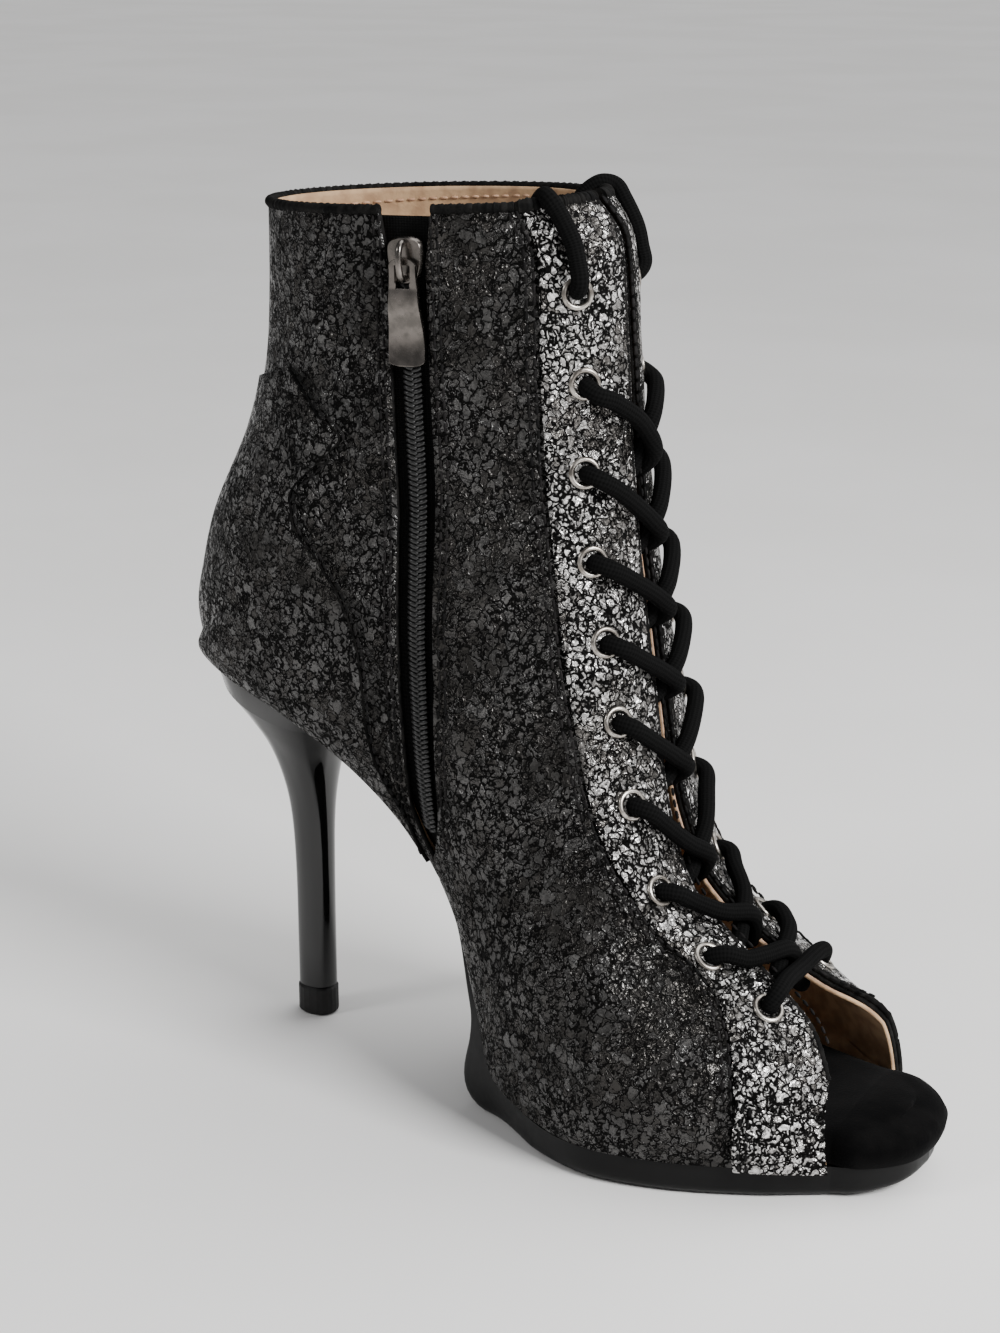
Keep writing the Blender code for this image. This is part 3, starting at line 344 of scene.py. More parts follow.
class Finish:
    """A material with one Principled shader."""

    def __init__(self, name):
        self.material = bpy.data.materials.new(name)
        self.material.use_nodes = True
        self.tree = self.material.node_tree
        self.shader = self.tree.nodes["Principled BSDF"]

    def node(self, kind, settings=None, sockets=None, out=0):
        """Any node: its settings first, then the values or links of its sockets."""
        made = self.tree.nodes.new(kind)
        for key, value in (settings or {}).items():
            setattr(made, key, value)
        for key, value in (sockets or {}).items():
            self.feed(made.inputs[key], value)
        return Value(self, made.outputs[out])

    def feed(self, target, value):
        if isinstance(value, Value):
            self.tree.links.new(value.socket, target)
        else:
            target.default_value = value

    def place(self):
        return self.node("ShaderNodeTexCoord", out="Object")

    def noise(self, where, scale, detail=3.0, out=0):
        sockets = {"Vector": where, "Scale": scale, "Detail": detail}
        return self.node("ShaderNodeTexNoise", None, sockets, out)

    def cells(self, where, scale, feature="F1", out=0):
        sockets = {"Vector": where, "Scale": scale}
        return self.node("ShaderNodeTexVoronoi", {"feature": feature}, sockets, out)

    def ease(self, value, low, high, first=0.0, last=1.0):
        """A smooth step from first to last while the value goes from low to high."""
        sockets = {0: value, 1: low, 2: high, 3: first, 4: last}
        return self.node("ShaderNodeMapRange", {"interpolation_type": "SMOOTHSTEP"}, sockets)

    def mix(self, share, first, second):
        sockets = {0: share, 6: first, 7: second}
        return self.node("ShaderNodeMix", {"data_type": "RGBA"}, sockets, 2)

    def vector(self, operation, *values, out=0):
        sockets = dict(enumerate(values))
        return self.node("ShaderNodeVectorMath", {"operation": operation}, sockets, out)

    def sine(self, value):
        return self.node("ShaderNodeMath", {"operation": "SINE"}, {0: value})

    def relief(self, height):
        """A bump whose height is in metres."""
        bump = self.node("ShaderNodeBump", None, {"Height": height, "Distance": 1.0, "Strength": 1.0})
        self.feed(self.shader.inputs["Normal"], bump)

    def set(self, **values):
        for key, value in values.items():
            self.feed(self.shader.inputs[key.replace("_", " ").title()], value)
        return self


def grey(level, warm=0.0):
    """A grey with a little warmth: red up and blue down by the same share."""
    return (level * (1 + warm), level, level * (1 - warm), 1.0)


# %% [markdown]
# The leather carries a thin metal foil that has crazed. Between black cracks lie flakes two
# or three millimetres across, each tilted its own way, so some flash and some stay dark.
# A Voronoi pattern gives the flakes, its distance to the edge gives the cracks, and a slope
# of its own for each flake gives the glints.

# %% Crackled foil leather
def set_specular(material, level):
    """The specular level is the same all over, so it is set on the shader itself."""
    material.node_tree.nodes["Principled BSDF"].inputs["Specular IOR Level"].default_value = level
    return material


def crackled_foil(name, dark, bright, wear, flake_scale, crack, stretch, lean_share):
    """Flakes between cracks: two greys, a share of worn spots, flakes per metre, the crack's
    width over a flake's, the stretch of the pattern in height, and how far flakes lean."""
    made = Finish(name)
    place = made.place()
    half = (0.5, 0.5, 0.5)
    stretched = made.vector("MULTIPLY", place, (1.0, 1.0, stretch))
    wander = made.vector("SUBTRACT", made.noise(place, 380.0, 2.0, "Color"), half)
    quiver = made.vector("SUBTRACT", made.noise(place, 1300.0, 0.0, "Color"), half)
    bent = made.vector("MULTIPLY_ADD", wander, (0.0045, 0.0045, 0.0045), stretched)
    bent = made.vector("MULTIPLY_ADD", quiver, (0.0009, 0.0009, 0.0009), bent)
    edge = made.cells(bent, flake_scale, "DISTANCE_TO_EDGE")
    fine_edge = made.cells(bent, flake_scale * 2.1, "DISTANCE_TO_EDGE")
    patch = made.ease(made.noise(place, 45.0, 2.0), 0.36, 0.64)
    width = crack * (0.7 + patch * 0.8)
    flake = made.ease(edge / width, 0.35, 1.0)
    curl = made.ease(edge / width, 1.0, 2.4, 1.0, 0.0)
    split = made.ease(made.noise(place, 210.0, 1.0), 0.42, 0.60)
    craze = 1 - (1 - made.ease(fine_edge, 0.02, 0.12)) * split
    tone = made.cells(bent, flake_scale, "F1", "Color")
    centre = made.cells(bent, flake_scale, "F1", "Position")
    lean = made.vector("SUBTRACT", tone, half)
    from_centre = made.vector("SUBTRACT", bent, centre)
    tilt = made.vector("DOT_PRODUCT", lean, from_centre, out="Value")
    level = made.vector("DOT_PRODUCT", tone, (0.4, 0.35, 0.25), out="Value")
    worn = made.ease(made.noise(place, 70.0, 3.0), 0.44, 0.66) * wear
    foil = flake * craze * (1 - worn)
    shade = made.ease(level * 0.8 + patch * 0.3, 0.3, 0.8)
    metal = made.mix(shade, grey(dark, 0.06), grey(bright, 0.02))
    rub = made.noise(place, 2600.0, 0.0)
    pucker = made.noise(bent, 520.0, 1.0)
    made.set(
        base_color=made.mix(foil, grey(0.0025, 0.05), metal),
        metallic=foil * 0.95,
        roughness=0.50 - foil * 0.32 + rub * 0.12,
    )
    made.relief(
        tilt * lean_share + flake * 0.00018 + curl * flake * 0.00010 + craze * 0.00005 + pucker * 0.00028
        + rub * 0.00001)
    return set_specular(made.material, 0.03)


# %% [markdown]
# The other finishes are plain ones: napped suede, satin and gloss black, aged silver, dark
# polished metal, woven tape and a round braided lace. Each has a fine relief of its own.

# %% Other finishes
def grained(name, colour, other, roughness, scale, depth, patch_scale=60.0, metallic=0.0, specular=0.5):
    """Noise grain of a given depth over two tones that a slower noise mixes."""
    made = Finish(name)
    place = made.place()
    grain = made.noise(place, scale, 4.0)
    patch = made.ease(made.noise(place, patch_scale, 3.0), 0.35, 0.65)
    made.set(
        base_color=made.mix(patch, (*colour, 1.0), (*other, 1.0)),
        roughness=roughness + (grain - 0.5) * 0.25,
        metallic=metallic,
    )
    made.relief(grain * depth)
    return set_specular(made.material, specular)


def braided(name, colour, turns, pitch, depth):
    """Two sets of ridges that cross: sin(2 pi (n u + v / p)) times sin(2 pi (n u - v / p))."""
    made = Finish(name)
    shares = made.node("ShaderNodeUVMap")
    parts = made.tree.nodes.new("ShaderNodeSeparateXYZ")
    made.feed(parts.inputs[0], shares)
    around = Value(made, parts.outputs[0]) * (turns * 2 * math.pi)
    along = Value(made, parts.outputs[1]) * (2 * math.pi / pitch)
    first = made.sine(around + along)
    second = made.sine(around - along)
    weave = first * second
    fuzz = made.noise(made.place(), 2500.0, 2.0)
    # Painted shade and light: the colour follows the weave's height, darker in its grooves and lighter on its
    # ridges, with some fuzz.
    tone = made.ease(weave + fuzz * 0.6, -0.8, 1.0)
    made.set(base_color=made.mix(tone, grey(colour * 0.6), grey(colour * 1.4)), roughness=0.92)
    made.relief(weave * depth + fuzz * 0.00010)
    return set_specular(made.material, 0.04)


# One foil in two copies: the eyestays' lit copy has brighter greys that paint the highlights where they face
# the light, and the quarter and counter get a darker shaded copy.
shaded_foil_copy = crackled_foil("foil_quarter_shaded", 0.034, 0.088, 0.30, 400.0, 0.105, 0.80, 0.70)
lit_foil_copy = crackled_foil("foil_eyestay_lit", 0.15, 0.85, 0.25, 500.0, 0.170, 0.85, 1.05)
lining = grained("tan_lining", (0.52, 0.335, 0.225), (0.43, 0.265, 0.17), 0.66, 700.0, 0.00006)
raw_edge = grained("raw_edge", (0.50, 0.33, 0.19), (0.34, 0.21, 0.12), 0.85, 1200.0, 0.00010, 200.0)
black_edge = grained(
    "black_edge", (0.0025, 0.0025, 0.0025), (0.009, 0.0085, 0.008), 0.7, 900.0, 0.00025, 300.0, specular=0.06)
suede = grained(
    "black_suede", (0.0014, 0.0014, 0.0015), (0.0034, 0.0032, 0.0032), 0.97, 1600.0, 0.00012, 90.0,
    specular=0.02)
suede_shader = suede.node_tree.nodes["Principled BSDF"]
suede_shader.inputs["Sheen Weight"].default_value = 0.02
suede_shader.inputs["Sheen Roughness"].default_value = 0.5
sole_black = grained(
    "satin_sole", (0.0025, 0.0025, 0.0026), (0.004, 0.004, 0.004), 0.40, 500.0, 0.00002, specular=0.14)
heel_gloss = grained("heel_lacquer", (0.003, 0.003, 0.003), (0.004, 0.004, 0.004), 0.08, 60.0, 0.00001)
top_lift = grained(
    "top_lift", (0.006, 0.006, 0.006), (0.012, 0.011, 0.011), 0.55, 900.0, 0.00004, specular=0.25)
aged_silver = grained(
    "aged_silver", (0.46, 0.43, 0.39), (0.20, 0.18, 0.16), 0.30, 700.0, 0.00003, 420.0, 1.0)
# The eyelet barrel's metal is darkened to paint the shade inside the hole.
barrel_painted_shade = grained(
    "barrel_painted_shade", (0.05, 0.045, 0.04), (0.02, 0.018, 0.016), 0.5, 700.0, 0.00003, 420.0, 0.8)
gunmetal = grained("gunmetal", (0.20, 0.18, 0.165), (0.12, 0.11, 0.10), 0.24, 400.0, 0.00002, 300.0, 1.0)
coil_black = grained(
    "coil_black", (0.005, 0.005, 0.005), (0.010, 0.010, 0.010), 0.34, 900.0, 0.00002, specular=0.4)
thread_black = grained(
    "thread_black", (0.004, 0.004, 0.004), (0.012, 0.011, 0.011), 0.80, 3000.0, 0.00004, specular=0.08)
thread_tan = grained("thread_tan", (0.36, 0.21, 0.13), (0.48, 0.30, 0.19), 0.80, 3000.0, 0.00006)
lace_black = braided("braided_lace", 0.0034, 6.0, 0.0013, 0.00004)
tape_black = braided("woven_tape", 0.0050, 12.0, 0.0012, 0.00006)
print("finishes", len(bpy.data.materials))

# %% [markdown]
# A piece is one or more grids of points. The mesh builder joins them, merges their shared
# borders, and can keep a UV pair for each point, so that a weave follows a lace.

# %% Mesh builder
def grid_faces(rows, columns, first, flip, closed=False):
    """Quads of a grid: corner, next in the row, and the same two of the row after."""
    across = columns if closed else columns - 1
    row, column = np.meshgrid(np.arange(rows - 1), np.arange(across), indexing="ij")
    following = (column + 1) % columns
    corners = (
        row * columns + column, row * columns + following,
        (row + 1) * columns + following, (row + 1) * columns + column,
    )
    faces = np.stack(corners, -1).reshape(-1, 4) + first
    return faces[:, ::-1] if flip else faces


def make_piece(name, points, faces, finishes, body, shares=None, marks=None, merge=0.000003):
    """A mesh object from point and face arrays, with UV shares per point and finish marks per face."""
    mesh = bpy.data.meshes.new(name)
    mesh.from_pydata(np.asarray(points).reshape(-1, 3).tolist(), [], faces.tolist())
    if shares is not None:
        corners = np.empty(len(mesh.loops), np.int32)
        mesh.loops.foreach_get("vertex_index", corners)
        layer = mesh.uv_layers.new(name="weave")
        layer.data.foreach_set("uv", np.asarray(shares, np.float32).reshape(-1, 2)[corners].ravel())
    if marks is not None:
        mesh.polygons.foreach_set("material_index", np.asarray(marks, np.int32))
    for finish in finishes:
        mesh.materials.append(finish)
    if merge:
        work = bmesh.new()
        work.from_mesh(mesh)
        bmesh.ops.remove_doubles(work, verts=work.verts, dist=merge)
        work.to_mesh(mesh)
        work.free()
    mesh.shade_smooth()
    made = in_scene(name, mesh)
    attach(made, body)
    return made


def close_outward(made, angle=40.0):
    """Turns a closed mesh's faces outward and keeps its sharp edges."""
    work = bmesh.new()
    work.from_mesh(made.data)
    bmesh.ops.recalc_face_normals(work, faces=work.faces)
    work.to_mesh(made.data)
    work.free()
    made.data.shade_smooth()
    made.data.set_sharp_from_angle(angle=math.radians(angle))
    return made


def fill_ends(made, split):
    """Closes the open ends of a loft. Split cuts their faces, which have many corners."""
    work = bmesh.new()
    work.from_mesh(made.data)
    bmesh.ops.holes_fill(work, edges=[edge for edge in work.edges if edge.is_boundary], sides=0)
    if split:
        bmesh.ops.triangulate(work, faces=[face for face in work.faces if len(face.verts) > 4])
    work.to_mesh(made.data)
    work.free()


def thicken(made, thickness, offset):
    """A Solidify of a thickness: offset 1 is outward, -1 inward and 0 both."""
    added = made.modifiers.new("wall", "SOLIDIFY")
    added.thickness = thickness
    added.offset = offset
    return added


def spokes(first, second, angle):
    """Unit directions round each point of a path: first cos a + second sin a."""
    cosine = np.cos(angle)[None, :, None]
    return first[:, None] * cosine + second[:, None] * np.sin(angle)[None, :, None]


def skin_spot(position, turn, side, height):
    """One point of the skin."""
    return skin(*np.array([[position], [turn]], float), side, np.array([height]))[0]


def wall(name, patches, side_list, height, thickness, finishes, roll=0.0):
    """A wall over patches (positions, start turns, end turns, columns) of the skin. A roll
    lowers it toward its start, so that a panel's edge lies close to the leather."""
    points = []
    faces = []
    first = 0
    for side in side_list:
        for positions, start, end, columns in patches(side):
            share = np.linspace(0, 1, columns)[None, :]
            turns = start[:, None] + (end - start)[:, None] * share
            places = np.repeat(positions[:, None], columns, 1)
            lift = height + soft_creases(places, turns, side)
            if roll:
                lift = lift - roll * np.exp(-((share / 0.06) ** 2)) * (start > 0.01)[:, None]
            points.append(skin(places, turns, side, lift).reshape(-1, 3))
            faces.append(grid_faces(len(positions), columns, first, side > 0))
            first += len(positions) * columns
    made = make_piece(name, np.concatenate(points), np.concatenate(faces), finishes, "shoe")
    added = thicken(made, abs(thickness), 1 if thickness > 0 else -1)
    added.use_even_offset = False
    added.material_offset = 1
    added.material_offset_rim = 1
    return made


# Soft creases, listed: position, turn, length along the turn, width in position, depth
CREASES = (
    (0.335, 0.40, 0.16, 0.012, 0.00045), (0.372, 0.46, 0.18, 0.012, 0.00040),
    (0.300, 0.62, 0.12, 0.014, 0.00035), (0.545, 0.66, 0.10, 0.014, 0.00035),
    (0.610, 0.70, 0.09, 0.016, 0.00030), (0.470, 0.60, 0.13, 0.012, 0.00040),
    (0.700, 0.30, 0.16, 0.016, 0.00030), (0.760, 0.22, 0.14, 0.016, 0.00030),
    (0.215, 0.45, 0.20, 0.016, 0.00030), (0.150, 0.33, 0.16, 0.014, 0.00025),
)


def soft_creases(position, turn, side):
    """Each crease is a trough with a ridge beside it: -d t exp(-t^2) exp(-u^2), with t and u
    the distances over its width and its length. Two slow waves keep the skin from being flat."""
    depth = np.zeros_like(position)
    for place, spin, length, width, amount in CREASES:
        across = (position - place) / width
        along = (turn - spin) / length
        depth -= amount * 1.6 * across * np.exp(-across * across) * np.exp(-along * along)
    wave = np.sin(position * 31 + turn * 9 + side) * np.sin(turn * 23 - position * 12)
    fade = np.clip(turn / 0.08, 0, 1) * np.clip((1 - turn) / 0.06, 0, 1) * np.clip(position / 0.05, 0, 1)
    return (depth + wave * 0.00012) * fade


# %% [markdown]
# The upper is two shells, the foil leather outside and the tan lining inside. On the medial
# side each is made as two stretches, with the zip's slot between them, which runs down into
# a seam that reaches the sole. The slot is a little wider in the lining than in the leather.

# %% Leather upper
ZIP_LOW = 0.432
ROWS = np.unique(np.concatenate([np.linspace(0.0, 0.24, 58), np.linspace(0.24, 1.0, 150), [ZIP_LOW]]))


samples = np.linspace(ZIP_ROUTE[1][0], 1.0, 200)
route_points = last_point(samples, curve_through(ZIP_ROUTE, samples), -1)
ZIP_LINE = np.polyfit(route_points[:, 2], route_points[:, 0], 4)


def zip_turn(position):
    """The turn where a section meets the zip's line: x = polynomial of z, found by halving."""
    low = np.zeros_like(np.asarray(position, float))
    high = low + 0.9
    for _ in range(24):
        middle = (low + high) / 2
        point = last_point(position, middle, -1)
        behind = point[..., 0] < np.polyval(ZIP_LINE, point[..., 2])
        low = np.where(behind, middle, low)
        high = np.where(behind, high, middle)
    return (low + high) / 2


def zip_tangent(position):
    """The unit direction of the zip's line: the slope of position and turn together."""
    ahead = 0.006
    low = np.clip(position - ahead, 0, 1)
    high = np.clip(position + ahead, 0, 1)
    first = last_point(low, zip_turn(low), -1)
    second = last_point(high, zip_turn(high), -1)
    return unit(second - first)


def zip_side(position, distance):
    """The position and turn beside the zip's route at a signed distance, walked in eighths."""
    turn = zip_turn(position)
    tangent = zip_tangent(position)
    for _ in range(8):
        position, turn = side_step(position, turn, -1, tangent, distance / 8)
    return position, turn


def slot_half(position):
    """Half the slot: closed at its foot, parallel above, wider toward the collar."""
    opens = np.clip((position - ZIP_LOW) / 0.018, 0, 1)
    mouth = np.clip((position - 0.955) / 0.045, 0, 1)
    return ZIP_SLOT / 2 * np.sqrt(opens) + 0.0019 * mouth


def split_patches(extra):
    """Sole to facing on the lateral side. The medial side stops and starts again at the zip,
    at a distance of half the slot and an extra on both sides of its route."""

    def patches(side):
        facing = facing_turn(ROWS, side) + extra * 4.5
        base = extra * 8 * np.interp(ROWS, (0.60, 0.66), (1.0, 0.0))
        if side > 0:
            return [(ROWS, base, facing, 84)]
        start = ZIP_ROUTE[0][0]
        split = ROWS[ROWS >= start]
        fine = np.linspace(start, 1.0, 600)
        turns = {}
        for sign in (-1, 1):
            places, spins = zip_side(fine, sign * (slot_half(fine) + extra))
            order = np.argsort(places)
            turns[sign] = np.interp(ROWS, places[order], spins[order])
        low = np.clip(np.minimum(turns[-1], turns[1]), 0, 1)
        high = np.clip(np.maximum(turns[-1], turns[1]), 0, 1)
        chosen = ROWS >= start
        return [
            (split, base[chosen], np.maximum(low[chosen], base[chosen]), 40),
            (ROWS, np.where(chosen, np.maximum(high, base), base), facing, 60),
        ]

    return patches


LEATHER = WALL * 0.55
# The upper's outer shell wears the darker shaded copy of the foil.
upper = wall(
    "leather_upper", split_patches(0.0), SIDES, 0.0, -LEATHER, (shaded_foil_copy, black_edge))
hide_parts("upper")
inner = wall(
    "lining", split_patches(0.0015), SIDES, -LEATHER - 0.00005, LEATHER - WALL,
    (lining, raw_edge))
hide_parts("upper")
print("upper rows", len(ROWS))

# %% [markdown]
# Two panels carry the eyelets and run down to the sole at the vamp's front, in the lit copy
# of the foil, whose brighter greys paint the highlights where they face the light. The heel
# counter, in the darker shaded copy, wraps the back up to a stepped edge. They are thin layers
# on the upper, so they are the same surface a little higher.

# %% Eyestays and counter
def eyestay_patches(side):
    """Below its corner the panel goes down to the sole. Behind it, its edge follows a table."""
    corner, corner_turn = EYESTAY_EDGE[0]
    front = np.linspace(0.0005, corner, 34)
    back = np.unique(np.concatenate([np.linspace(corner, 0.20, 40), np.linspace(0.20, 1.0, 130)]))
    flat = np.full_like(front, corner_turn)
    return [
        (front, np.zeros_like(front), flat, 44),
        (front, flat, facing_turn(front, side), 26),
        (back, curve_through(EYESTAY_EDGE, back), facing_turn(back, side), 26),
    ]


def counter_patches(side):
    """From the back seam to a stepped edge."""
    rows = np.linspace(COUNTER_EDGE[0][0] + 0.004, COUNTER_EDGE[-1][0], 130)
    return [(rows, np.zeros_like(rows), np.maximum(curve_through(COUNTER_EDGE, rows), 0.01), 50)]


for side in SIDES:
    stay = wall(
        "eyestay_panel_" + SIDE_NAMES[side], eyestay_patches, (side,), 0.0002, OVERLAY,
        (lit_foil_copy, black_edge), 0.0006)
    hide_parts("eyestay_" + SIDE_NAMES[side])
counter = wall(
    "counter_panel", counter_patches, SIDES, 0.0001, 0.0010, (shaded_foil_copy, black_edge))
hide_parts("heel_counter")
print("panels on the upper: two eyestays and a counter")

# %% [markdown]
# The leather is folded over at the collar and along both facings, which leaves a thick dark
# rim. Each rim is a bead along an edge: round the collar in two stretches, on both sides of
# the zip, and down each facing.

# %% Folded rims
def folded_rim(name, centre, radius):
    """A closed tube: ring points r (n cos a + t sin a) round an edge, its thickness uneven."""
    count = len(centre)
    sway = np.arange(count)
    uneven = radius * (1 + 0.16 * np.sin(sway * 1.9) * np.sin(sway * 0.73))
    along = unit(np.gradient(centre, axis=0))
    first = unit(np.cross(along, (0.05, 0.0, 1.0)))
    second = np.cross(along, first)
    angle = np.linspace(0, 2 * np.pi, 15)[:-1]
    spoke = spokes(first, second, angle)
    rings = centre[:, None] + spoke * uneven[:, None, None]
    tips = [centre[end] + spoke[end] * 0.0001 for end in (0, -1)]
    rings = np.concatenate([tips[0][None], rings, tips[1][None]])
    fold = make_piece(
        name, rings, grid_faces(count + 2, 14, 0, False, True), (black_edge,), "shoe")
    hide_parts("upper")
    return close_outward(fold, 60.0)


def collar_line(start, end, count, side):
    """Points along the collar, a little higher over the eyestay panels, and their bead radius."""
    turns = np.linspace(start, end, count)
    row = np.full(count, 0.999)
    over = np.interp(turns, (EYESTAY_EDGE[-1][1] - 0.01, EYESTAY_EDGE[-1][1] + 0.01), (0.0, 1.0))
    return skin(row, turns, side, -0.0005 + over * 0.0007), 0.00125 + over * 0.0006


TOP_FACING = float(facing_turn(np.array([1.0]), 1)[0])
collar_row = np.array([0.999])
slot_top = {sign: float(zip_side(collar_row, sign * slot_half(collar_row))[1][0]) for sign in (-1, 1)}
line, bead = collar_line(max(slot_top.values()), TOP_FACING, 120, -1)
folded_rim("collar_fold_front", line, bead)
medial_line, medial_bead = collar_line(min(slot_top.values()), 0.004, 150, -1)
lateral_line, lateral_bead = collar_line(0.004, TOP_FACING, 270, 1)
line = np.concatenate([medial_line, lateral_line])
folded_rim("collar_fold_back", line, np.concatenate([medial_bead, lateral_bead]))
for side in SIDES:
    rows = np.linspace(0.004, 0.998, 420)
    edge = skin(rows, facing_turn(rows, side) - 0.006, side, np.full(420, OVERLAY * 0.6))
    folded_rim("facing_fold_" + SIDE_NAMES[side], edge, np.full(420, 0.00085))
print("folded rims made")

# %% [markdown]
# The sole has a line of stations from the toe's tip to the seat. A slab is a ring of points
# at each station: down one edge, across the bottom, up the other edge and over the top.

# %% Sole stations
TOE_ROWS = np.array((
    (0.8600, 0.002, 0.40), (0.8555, 0.085, 0.34), (0.8450, 0.148, 0.26),
    (0.8250, 0.205, 0.16), (0.8000, 0.249, 0.06), (0.7700, 0.277, 0.00),
))


def sole_stations(toe_count, upper_positions):
    """Centre x and z, half widths, swing and tread's rise at each station."""
    place = np.linspace(0, len(TOE_ROWS) - 1, toe_count)[:-1]
    toe_x, toe_half, toe_spring = (smooth_between(TOE_ROWS[:, i], place) for i in range(3))
    size = section(upper_positions)
    zeros = np.zeros(toe_count - 1)
    swing = section(np.array([0.0]))["swing"][0]
    return {
        "x": np.concatenate([toe_x * SHOE_LENGTH, size["back_x"]]),
        "z": np.concatenate([zeros + PLATFORM, size["back_z"]]),
        "medial": np.concatenate([toe_half * BALL_WIDTH, size["sole_medial"]]),
        "lateral": np.concatenate([toe_half * BALL_WIDTH, size["sole_lateral"]]),
        "swing": np.concatenate([zeros + swing, size["swing"]]),
        "spring": np.concatenate([toe_spring * PLATFORM, np.zeros(len(upper_positions))]),
        "position": np.concatenate([zeros, upper_positions]),
        "toe": np.concatenate([zeros + 1, np.zeros(len(upper_positions))]),
    }


def sole_edges(stations, inset):
    """Both edges moved inward by an inset. In the toe the whole outline shrinks about its root:
    y (1 - inset / half width) and x (1 - inset / length). Behind it only the width shrinks."""
    x = stations["x"]
    slope_x = np.gradient(x)
    slope_z = np.gradient(stations["z"])
    length = np.hypot(slope_x, slope_z)
    down = np.stack([slope_z / length, np.zeros_like(x), -slope_x / length], -1)
    down = down * np.where(down[:, 2:] > 0, -1, 1)
    first = int((stations["toe"] > 0).sum())
    root = x[first]
    in_toe = np.arange(len(x)) < first
    edges = {}
    for side in SIDES:
        half = stations[SIDE_NAMES[side]]
        narrow = np.where(in_toe, half * (1 - inset / half[first]), np.maximum(half - inset, half * 0.15))
        reach = np.where(in_toe, root + (x - root) * (1 - inset / (x[0] - root)), x)
        edges[side] = np.stack([reach, stations["swing"] + side * narrow, stations["z"]], -1)
    return edges, down


def blended(values, reach):
    """A run of values smoothed by a bell over some stations, its ends kept."""
    bell = np.exp(-np.linspace(-2, 2, 2 * reach + 1) ** 2)
    wide = np.concatenate([np.full(reach, values[0]), values, np.full(reach, values[-1])])
    return np.convolve(wide, bell / bell.sum(), mode="valid")


def slab(name, stations, layers, crown, finish):
    """A loft of rings: layers of inset and drop down each edge, and a crowned top across."""
    medial = []
    lateral = []
    for inset, drop in layers:
        edges, down = sole_edges(stations, inset)
        move = down * np.broadcast_to(drop, len(down))[:, None]
        medial.append(edges[-1] + move)
        lateral.append(edges[1] + move)
    share = np.linspace(0, 1, 13)[1:-1]
    top = [
        lateral[0] + (medial[0] - lateral[0]) * s + np.array([0, 0, 1]) * (crown * 4 * s * (1 - s))[:, None]
        for s in share
    ]
    base = [medial[-1] + (lateral[-1] - medial[-1]) * s for s in (0.25, 0.5, 0.75)]
    rings = np.stack([*medial, *base, *lateral[::-1], *top], 1)
    rings[..., 2] = np.maximum(rings[..., 2], 0.0)
    rows, columns, _ = rings.shape
    made = make_piece(name, rings, grid_faces(rows, columns, 0, False, True), (finish,), "shoe")
    fill_ends(made, True)
    return close_outward(made, 50.0)


# %% [markdown]
# The footbed is a thick suede toe in front of the vamp, then a tan sock inside. The platform
# is a slim satin slab with a rounded lower edge, which thins out under the arch.

# %% Footbed and platform
stations = sole_stations(60, np.linspace(0.0, 0.675, 110))
thick = np.interp(stations["position"], (0.0, 0.20, 0.43, 0.70), (0.0085, 0.0045, 0.0028, 0.0028))
ahead = blended(np.interp(stations["x"] / SHOE_LENGTH, (0.766, 0.796), (0.0, 1.0)), 4)
edge = WALL + 0.0005 - ahead * (WALL - 0.0003)
bulge = ahead * 0.0012
layers = [
    (edge + thick * 0.75, -thick),
    (edge + thick * 0.48, -thick * 0.97),
    (edge + thick * 0.24, -thick * 0.88),
    (edge + thick * 0.05 - bulge * 0.4, -thick * 0.74),
    (edge - bulge, -thick * 0.50),
    (edge - bulge * 0.7, -thick * 0.22),
    (edge, np.full_like(thick, -0.0002)),
]
crown = np.interp(stations["x"], (0.14, 0.165), (-0.0006, 0.0012))
footbed = slab("suede_footbed", stations, layers, crown, suede)
footbed.data.materials.append(lining)
centres = np.empty(len(footbed.data.polygons) * 3, np.float32)
footbed.data.polygons.foreach_get("center", centres)
SOCK_FRONT = 0.118
is_sock = centres.reshape(-1, 3)[:, 0] < SOCK_FRONT
footbed.data.polygons.foreach_set("material_index", is_sock.astype(np.int32))
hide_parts("footbed")

stations = sole_stations(60, np.linspace(0.0, 0.534, 150))
place = stations["position"]
share = np.interp(place, (0.00, 0.295, 0.315, 0.335, 0.355, 0.40), (3.00, 3.00, 1.30, 0.65, 0.40, 0.10))
_, down = sole_edges(stations, np.zeros_like(place))
to_floor = (stations["z"] - stations["spring"]) / -down[:, 2]
thick = np.minimum(blended(np.minimum(np.maximum(PLATFORM * share, 0.0014), to_floor), 7), to_floor)
edge = np.interp(place, (0.0, 0.24, 0.34), (0.0022, 0.0, 0.0012))
round_off = np.minimum(thick * 0.35, 0.0030)
tuck = np.interp(place, (0.20, 0.25, 0.275, 0.295, 0.315, 0.36), (0.0, 0.012, 0.045, 0.075, 0.045, 0.0))
tuck = blended(tuck * BALL_WIDTH, 10)
layers = [
    (edge, np.full_like(thick, 0.0003)),
    (edge + tuck * 0.42, thick * 0.45),
    (edge + tuck * 0.85, thick - round_off),
]
for angle in np.radians((22.5, 45.0, 67.5, 90.0)):
    inward = (1 - math.cos(angle)) * 1.1
    sine = math.sin(angle)
    layers.append((edge + tuck * (0.85 + 0.15 * sine) + round_off * inward, thick - round_off * (1 - sine)))
platform = slab("platform_sole", stations, layers, np.zeros_like(thick), sole_black)
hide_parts("outsole")
print("footbed and platform made")

# %% [markdown]
# The stiletto is a stack of rings whose front leans: the back point and the front point of a
# ring have heights of their own. The rings are blunt at the front, where the breast is.

